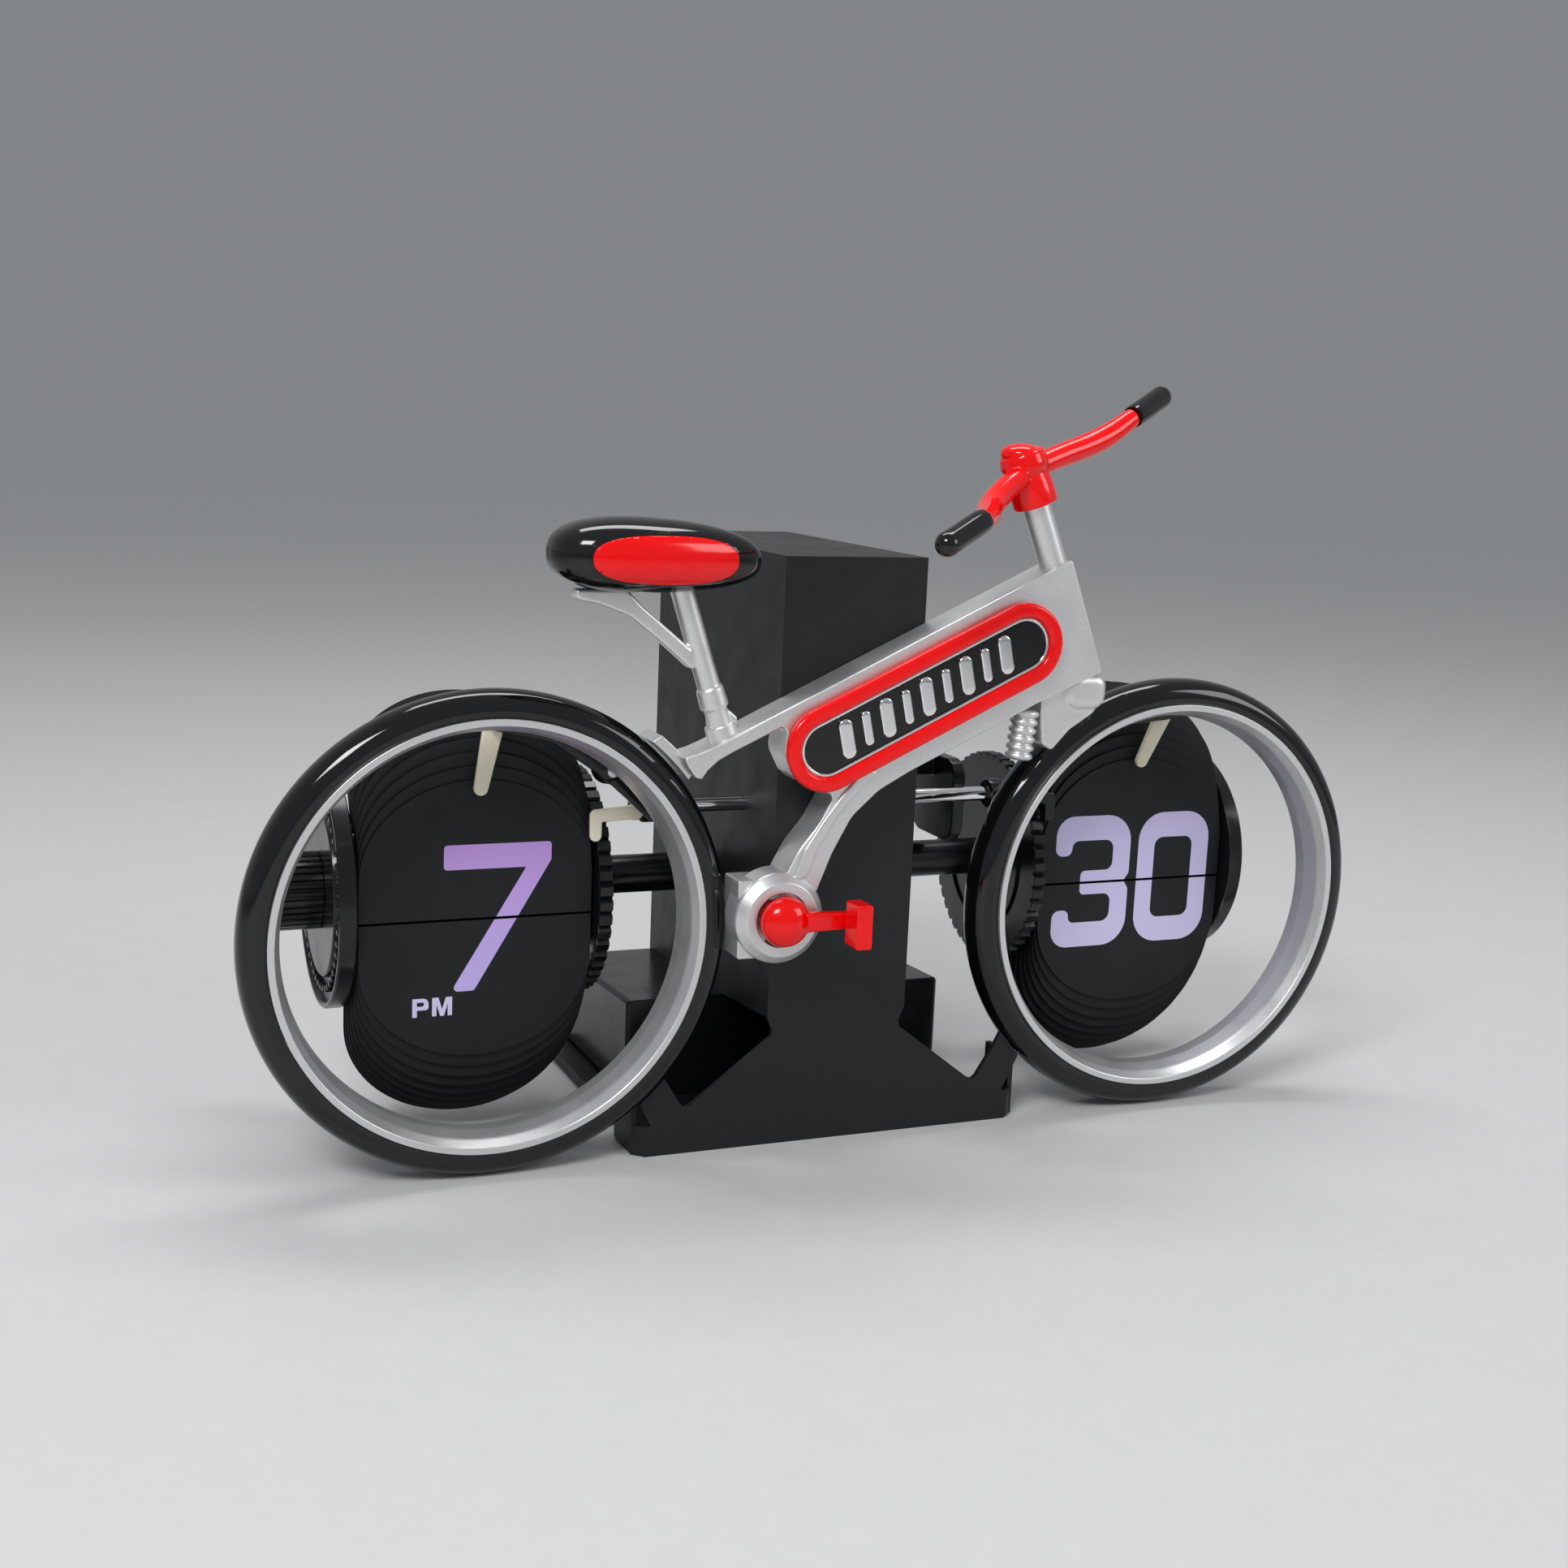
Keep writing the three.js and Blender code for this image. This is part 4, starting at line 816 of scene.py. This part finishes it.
def bike_frame():
    """Frame casting with its raised ridge, seat stay, post boss, rear lug and crank ring."""
    casting = plate_y([frame_outline()], FRAME_FRONT_Y, PANEL_FRONT_Y - 0.05, 0.7, 4)
    ridge = plate_y([rounded([(-21.4, 82), (-17.8, 82), (-14.4, 90.6), (-9.2, 99.4), (-2.6, 107.2),
                              (4.6, 112.2), (-1.4, 112.6), (-7.6, 105.8), (-13.2, 98.6), (-18.4, 90.6)],
                             3, 6)], FRAME_FRONT_Y - 0.9, FRAME_FRONT_Y + 0.6, 0.75, 4)
    stay = plate_y([rounded([(-36.4, 59.6), (-28, 59.6), (-28, 82), (-36.8, 82)], 0.7)],
                   -6.4, PANEL_FRONT_Y - 0.05, 0.4)
    boss = turned(rounded([(0, 0, 0), (4.6, 0, 0), (4.3, 4.6, 0.6), (0, 4.6, 0)]),
                  along((-41.0, FRAME_MID_Y, 121.2), (-42.5, FRAME_MID_Y, 125.6)), 40)
    lug = plate_y([rounded(arc_points(REAR_WHEEL_X, WHEEL_Z, 67.8, 51.5, 38.5, 12)
                           + arc_points(REAR_WHEEL_X, WHEEL_Z, 70.8, 39.5, 50.5, 12), 0)],
                  -0.6, 12.4, 0.4)
    piece("frame_casting", [casting, ridge, stay, boss, lug, bottom_bracket()], SATIN, "stand",
          ["bike_frame"], sharp=40)


def front_bracket():
    """Rounded fork lug under the beam's head, with its plate behind the front tyre."""
    knuckle = plate_y([rounded([(63.4, 127.6), (77.0, 127.8), (77.4, 138.6), (63.4, 138.8)], 4.2, 8)],
                      -7.6, 4.6, 3.2, 8)
    plate_shape = rounded([(55.4, 134.0, 1), (56.2, 124.0, 6), (57.0, 117.6, 2), (60.4, 115.8, 1),
                           (66.0, 121.8, 3), (74.0, 126.8, 3), (76.0, 133.0, 3), (72.6, 138.0, 2)])
    web = plate_y([plate_shape], -5.6, PANEL_FRONT_Y, 0.9, 4)
    piece("fork_bracket", [moulded([knuckle, web], 0.4, 5)], SATIN, "stand",
          ["front_bracket"])


def fork_sleeve():
    """Ridged boot between the beam and the front tyre."""
    profile = [(0.0, 0.0)]
    for i in range(6):
        base = 2.5 * i
        profile += [(3.2, base + 0.1), (4.05, base + 0.8), (4.05, base + 1.6), (3.2, base + 2.3)]
    profile += [(0.0, 15.2)]
    start = Vector((50.6, -3.0, 113.2))
    lean = math.radians(6)
    end = start + Vector((math.sin(lean), 0, math.cos(lean)))
    piece("fork_boot", [turned(profile, along(start, end), 48)], SATIN, "stand",
          ["fork_sleeve"], sharp=70)


# ---------------------------------------------------------------- badge

def badge():
    """Red pill on the beam, around a black inlay with a chrome edge."""
    ring = plate_y([stadium(BADGE_REAR, BADGE_FRONT, 12.0), stadium(BADGE_REAR, BADGE_FRONT, 7.7)],
                   -11.4, FRAME_FRONT_Y - 0.02, 1.3, 6)
    piece("badge_pill", [ring], RED, "stand", ["badge_ring"])
    inlay = plate_y([stadium(BADGE_REAR, BADGE_FRONT, 7.0)], -9.5, FRAME_FRONT_Y - 0.02, 0.2)
    piece("badge_inlay", [inlay], BLACK, "stand", ["badge_plate"])
    border = plate_y([stadium(BADGE_REAR, BADGE_FRONT, 7.65), stadium(BADGE_REAR, BADGE_FRONT, 6.75)],
                     -10.3, -9.0, 0.3)
    piece("badge_edge", [border] + badge_relief(), CHROME, "stand", ["badge_border"])


def badge_relief():
    """Plain raised lozenges along the inlay; they are a pattern, not letters."""
    rear, front = Vector(BADGE_REAR), Vector(BADGE_FRONT)
    way = (front - rear).normalized()
    up = Vector((-way.y, way.x))
    relief = []
    count = 9
    for i in range(count):
        centre = rear + (front - rear) * ((i + 0.5) / count * 0.9 + 0.05)
        low = centre - up * 3.5 - way * 0.8
        high = centre + up * 3.5 + way * 0.8
        size = 1.4 if i % 2 else 2.1
        relief.append(plate_y([stadium(tuple(low), tuple(high), size)], -10.5, -9.3, 0.5))
    return relief


# ---------------------------------------------------------------- crank

def crank_set():
    """Domed crank hub with its arm, and the pedal block on the arm's pin."""
    spindle = [(0.0, -7.1), (5.9, -7.1), (5.9, -10.6), (7.1, -10.9), (7.1, -12.4)]
    dome = [(7.1 * math.cos(math.radians(a)), -12.4 - 4.7 * math.sin(math.radians(a)))
            for a in range(6, 85, 7)]
    hub = turned(spindle + dome + [(0.0, -17.1)], about_y(CRANK_X, CRANK_Z), 64)
    arm = plate_y([stadium((CRANK_X + 3, CRANK_Z), (PEDAL_X, CRANK_Z), 2.9, 2.4)], -15.4, -11.9, 0.9, 4)
    pin = turned([(0.0, 0.0), (1.6, 0.0), (1.6, 9.4), (0.0, 9.4)],
                 along((PEDAL_X, -13, CRANK_Z), (PEDAL_X, -20, CRANK_Z)), 24)
    piece("crank_moulding", [moulded([hub, arm, pin], 0.3, 4)], RED, "crank_arm", ["crank"])
    rear, ahead = PEDAL_X - 2.4, PEDAL_X + 2.5
    low, high = CRANK_Z - PEDAL_RISE, CRANK_Z + PEDAL_RISE
    block = plate_y([rounded([(rear, low), (ahead, low), (ahead, high), (rear, high)], 0.8)],
                    -24, -15.9, 0.6, 4)
    piece("pedal_block_moulding", [block], RED, "pedal_block", ["pedal"])


# ---------------------------------------------------------------- saddle

SADDLE_MIDDLE_X = -62
SADDLE_HALF_LENGTH = 29.6


def squared_circle(angle, power):
    """A point of the unit circle, pushed out towards a square by a power under 1."""
    return [math.copysign(abs(v) ** power, v) for v in (math.cos(angle), math.sin(angle))]


def saddle_section(t):
    """Centre height, half height and half width at t from the rear (-1) to the nose (1)."""
    round_off = (1 - abs(t) ** 2.6) ** (1 / 2.6)
    half_height = 9.9 * round_off * (1 - 0.13 * t - 0.05 * t * t)
    half_width = 12.9 * (1 - abs(t) ** 2.4) ** (1 / 2.4) * (1 - 0.36 * t)
    return 171.2 - 0.7 * t - 0.6 * t * t, half_height, half_width


def saddle_skin(proud=0.0):
    """The saddle's skin, or a skin standing proud of it by a small distance."""
    rings = []
    count = 56
    for i in range(1, count):
        t = -math.cos(math.pi * i / count)
        height, tall, wide = saddle_section(t)
        ring = []
        for k in range(64):
            across, up = squared_circle(2 * math.pi * k / 64, 0.8)
            ring.append((SADDLE_MIDDLE_X + SADDLE_HALF_LENGTH * t,
                         FRAME_MID_Y + (wide + proud) * across, height + tall * up))
        rings.append(ring)
    return clean(grid_mesh(rings))


def inlaid(outline_loops, proud):
    """The part of a proud saddle skin inside an outline on the reader's side."""
    target = bpy.data.objects.new("skin", saddle_skin(proud))
    cutter = bpy.data.objects.new("cutter", clean(plate_y(outline_loops, -20, -2.5, 0.01, 1)))
    bpy.context.scene.collection.objects.link(cutter)
    keep = target.modifiers.new("keep", "BOOLEAN")
    keep.operation = "INTERSECT"
    keep.solver = "EXACT"
    keep.object = cutter
    edge = target.modifiers.new("edge", "BEVEL")
    edge.width = 0.3
    edge.segments = 3
    edge.limit_method = "ANGLE"
    edge.angle_limit = math.radians(40)
    mesh = evaluated(target)
    bpy.data.objects.remove(cutter)
    return mesh


INSERT_CENTRE = (-62.6, 170.6)
INSERT_HALF_LENGTH = 20.9
INSERT_HALF_HEIGHT = 6.4


def insert_outline(margin):
    """A rounded oval around the saddle's insert, larger by a margin, its nose a little low."""
    outline = []
    for i in range(96):
        across, up = squared_circle(2 * math.pi * i / 96, 0.78)
        droop = 0.015 * INSERT_HALF_LENGTH * across
        outline.append((INSERT_CENTRE[0] + (INSERT_HALF_LENGTH + margin) * across,
                        INSERT_CENTRE[1] + (INSERT_HALF_HEIGHT + margin) * up - droop))
    return outline


def saddle():
    """Glossy shell with a red pad let into its side, inside a thin black rim."""
    piece("saddle_shell", [saddle_skin()], BLACK, "stand", ["saddle"], sharp=70)
    rim = [insert_outline(0.8), insert_outline(0.1)]
    piece("saddle_rim", [inlaid(rim, 0.4)], BLACK, "stand", sharp=60)
    piece("saddle_pad", [inlaid([insert_outline(0)], 0.5)], RED, "stand",
          ["saddle_insert"], sharp=60)


def seat_post():
    """Post with its clamp, the gusset at its foot and the brace under the saddle's rear."""
    post = tube([(-41.4, FRAME_MID_Y, 122.4), (-48.6, FRAME_MID_Y, 143.9), (-55.6, FRAME_MID_Y, 165.0)],
                [3.25, 3.2, 3.2], 36, 4)
    clamp = tube([(-44.0, FRAME_MID_Y, 130.1), (-45.8, FRAME_MID_Y, 135.4)], [4.0, 3.8], 36, 4)
    gusset = plate_y([rounded([(-38.0, 123.6), (-37.8, 127.4), (-42.6, 131.4), (-46.4, 130.2),
                               (-45.4, 121.4)], 0.8)], -3.6, 0.2, 0.5)
    brace = plate_y([rounded([(-85.0, 162.2, 1), (-84.4, 159.4, 1.5), (-78.2, 158.2, 6), (-69.6, 155.0, 8),
                              (-60.0, 147.6, 8), (-50.6, 139.6, 1), (-50.9, 145.2, 1),
                              (-57.6, 150.8, 8), (-66.0, 157.6, 8), (-70.6, 162.2, 1)])], -4.2, 0.8, 0.7)
    piece("seat_post_tube", [moulded([post, clamp, gusset, brace], 0.35, 3)], SATIN, "stand",
          ["seat_post"])


# ---------------------------------------------------------------- steering

def steer_point(across, ahead, up):
    """A point across, ahead of and up the steering axis, with the bar turned."""
    axis = Vector((-math.sin(STEER_TILT), 0, math.cos(STEER_TILT)))
    forward = Vector((math.cos(STEER_TILT), 0, math.sin(STEER_TILT)))
    side = Vector((0, 1, 0))
    c, s = math.cos(STEER_TURN), math.sin(STEER_TURN)
    return (STEER_FOOT + side * (across * c - ahead * s)
            + forward * (across * s + ahead * c) + axis * up)


# The far arm sweeps ahead evenly; the near arm bows back before it meets its grip.
ARM_ACROSS = (5, 14, 25, 34, 43.4)
ARM_RISE = (0.6, 0.0, -1.0, -0.9, 0.6)
ARM_RADII = (3.4, 3.5, 3.6, 3.4, 2.8)
ARM_AHEAD = {-1: (1, 0.8, 2.6, 7.2, 12.0), 1: (1, 3, 5.9, 8.8, 12.0)}
GRIP_PATH = ((43.4, 0.6), (46, 0.62), (54, 0.7), (61.2, 0.8))


def steering():
    """Stem, red bar with its clamp and cap, and the two grips."""
    stem = turned(rounded([(0, 0, 0), (4.1, 0, 0.2), (4.1, 31.6, 0.2), (0, 31.6, 0)]),
                  along(steer_point(0, 0, -11.4), steer_point(0, 0, 0)), 64)
    piece("stem_bar", [stem], SATIN, "steering", ["stem_tube"])
    clamp = tube([steer_point(0, 0, HEAD_HEIGHT + h) for h in (-9.2, -4.0, 0.6)], [6.6, 6.5, 5.6], 48, 4)
    cap = tube([steer_point(0, 0, HEAD_HEIGHT + h) for h in (0.0, 2.6, 6.2)], [5.6, 6.9, 6.3], 48, 4)
    crown = ball(steer_point(0, 0, HEAD_HEIGHT + 5.8), (6.0, 6.0, 3.2))
    arms = []
    for side in (-1, 1):
        points = [steer_point(side * across, ahead, HEAD_HEIGHT + rise)
                  for across, ahead, rise in zip(ARM_ACROSS, ARM_AHEAD[side], ARM_RISE)]
        arms.append(tube(points, ARM_RADII, 28, 8))
    bar = moulded([clamp, cap, crown] + arms, 0.3, 14)
    piece("handlebar_moulding", [bar], RED, "steering", ["handlebar"])
    for side, name in ((-1, "near"), (1, "far")):
        points = [steer_point(side * across, 12.0, HEAD_HEIGHT + rise) for across, rise in GRIP_PATH]
        grip = tube(points, [3.2, 3.4, 3.4, 3.4], 36, 6, (False, True))
        piece(f"grip_{name}_sleeve", [grip], BLACK, "steering", [f"grip_{name}"])


# ---------------------------------------------------------------- hidden parts

KEPT = {
    "battery_door": CASE, "battery_front": JACKET, "battery_rear": JACKET, "contact_left": SPRING,
    "contact_right": SPRING, "foot_strip_front": RUBBER, "foot_strip_rear": RUBBER,
    "movement_plate": BRASS, "motor": STEEL, "motor_pinion": BRASS, "reduction_gear": GEAR,
    "minute_gear": GEAR,
}


def finish_kept_nodes():
    """Finishes for the inner CAD nodes that are shown as they are."""
    for node, material in KEPT.items():
        shown = NODES[node].data
        shown.materials.clear()
        shown.materials.append(material)


# ---------------------------------------------------------------- stage

def area_light(name, place, target, size, power):
    """A soft lamp at a place in metres, aimed at a target."""
    light = bpy.data.lights.new(name, "AREA")
    light.shape = "RECTANGLE"
    light.size, light.size_y = size
    light.energy = power
    holder = bpy.data.objects.new(name, light)
    holder.location = place
    holder.rotation_euler = (Vector(target) - Vector(place)).to_track_quat("-Z", "Y").to_euler()
    bpy.context.scene.collection.objects.link(holder)


def floor():
    """A plain pale floor, kept out of the object's own pieces."""
    work = bmesh.new()
    bmesh.ops.create_grid(work, x_segments=2, y_segments=2, size=14)
    mesh = bpy.data.meshes.new("floor")
    work.to_mesh(mesh)
    work.free()
    mesh.materials.append(surface("floor_paint", FLOOR_COLOUR, (0.5, 0.65), grain=300, relief=0.02,
                                  tint=0.01))
    ground = bpy.data.objects.new("floor", mesh)
    bpy.context.scene.collection.objects.link(ground)


def background(tree, colour):
    """A node that gives off an even colour all round."""
    node = tree.nodes.new("ShaderNodeBackground")
    node.inputs["Color"].default_value = (*colour, 1)
    node.inputs["Strength"].default_value = AIR_STRENGTH
    return node


def world():
    """Soft light all round, which the camera sees as dim as the far floor, so no horizon shows."""
    studio_air = bpy.data.worlds.new("studio")
    studio_air.use_nodes = True
    tree = studio_air.node_tree
    tree.nodes.clear()
    rays = tree.nodes.new("ShaderNodeLightPath")
    mix = tree.nodes.new("ShaderNodeMixShader")
    output = tree.nodes.new("ShaderNodeOutputWorld")
    seen = [FAR_FLOOR_SHEEN * paint * light for paint, light in zip(FLOOR_COLOUR, AIR_COLOUR)]
    tree.links.new(rays.outputs["Is Camera Ray"], mix.inputs[0])
    tree.links.new(background(tree, AIR_COLOUR).outputs[0], mix.inputs[1])
    tree.links.new(background(tree, seen).outputs[0], mix.inputs[2])
    tree.links.new(mix.outputs[0], output.inputs["Surface"])
    bpy.context.scene.world = studio_air


def camera():
    """Looks down a little from the rear wheel's side."""
    lens = bpy.data.cameras.new("camera")
    lens.lens = CAMERA_LENS
    lens.sensor_width = 36
    lens.clip_start = 0.01
    holder = bpy.data.objects.new("camera", lens)
    holder.location = TO_FRAME @ Vector(CAMERA_PLACE)
    aim = Vector(CAMERA_FORWARD).to_track_quat("-Z", "Y").to_matrix()
    holder.rotation_euler = (aim @ Matrix.Rotation(CAMERA_ROLL, 3, "Z")).to_euler()
    bpy.context.scene.collection.objects.link(holder)
    bpy.context.scene.camera = holder


def studio():
    """Floor, air, camera and three soft lamps."""
    floor()
    world()
    camera()
    area_light("key", (-0.75, -0.75, 1.0), (0, 0, 0.08), (0.5, 0.35), 11)
    area_light("fill", (0.95, -0.7, 0.6), (0, 0, 0.1), (0.5, 0.5), 3.5)
    area_light("top", (0.1, 0.3, 1.1), (0, 0.05, 0.1), (0.9, 0.25), 5.5)
    bpy.context.scene.view_settings.view_transform = "Standard"


# ---------------------------------------------------------------- building

wheel("rear", REAR_WHEEL_X)
wheel("front", FRONT_WHEEL_X)
stand()
for label, side, x in (("hour", -1, HOUR_CARD_X), ("minute", 1, MINUTE_CARD_X)):
    inner_flange(label, side, x)
    outer_flange(label, side, x)
    knob(label, side, x)
    axle_tube(label, side, x)
    cards(label, x)
numeral("hour", HOUR_CARD_X, [[SEVEN]], HOUR_PRINT_PAINTED_LIGHT)
numeral("minute", MINUTE_CARD_X, [[ZERO_OUTER, ZERO_INNER], [THREE]], MINUTE_PRINT_PAINTED_LIGHT)
half_day_mark()
retainers("hour", -1, (-97.6, 123.0), (-101.2, 104.0), -51.0, HOUR_CARD_X, (IVORY, "ivory_plastic"))
# The minute latch takes the black drum finish as painted shade, for a latch that stands in shadow; the
# hour latch is ivory.
retainers("minute", 1, (120.5, 122.0), (112.8, 105.6), 61.5, MINUTE_CARD_X, (DRUM, "drum_black"))
rod()
bike_frame()
front_bracket()
fork_sleeve()
badge()
crank_set()
saddle()
seat_post()
steering()
finish_kept_nodes()
studio()

bpy.context.view_layer.update()
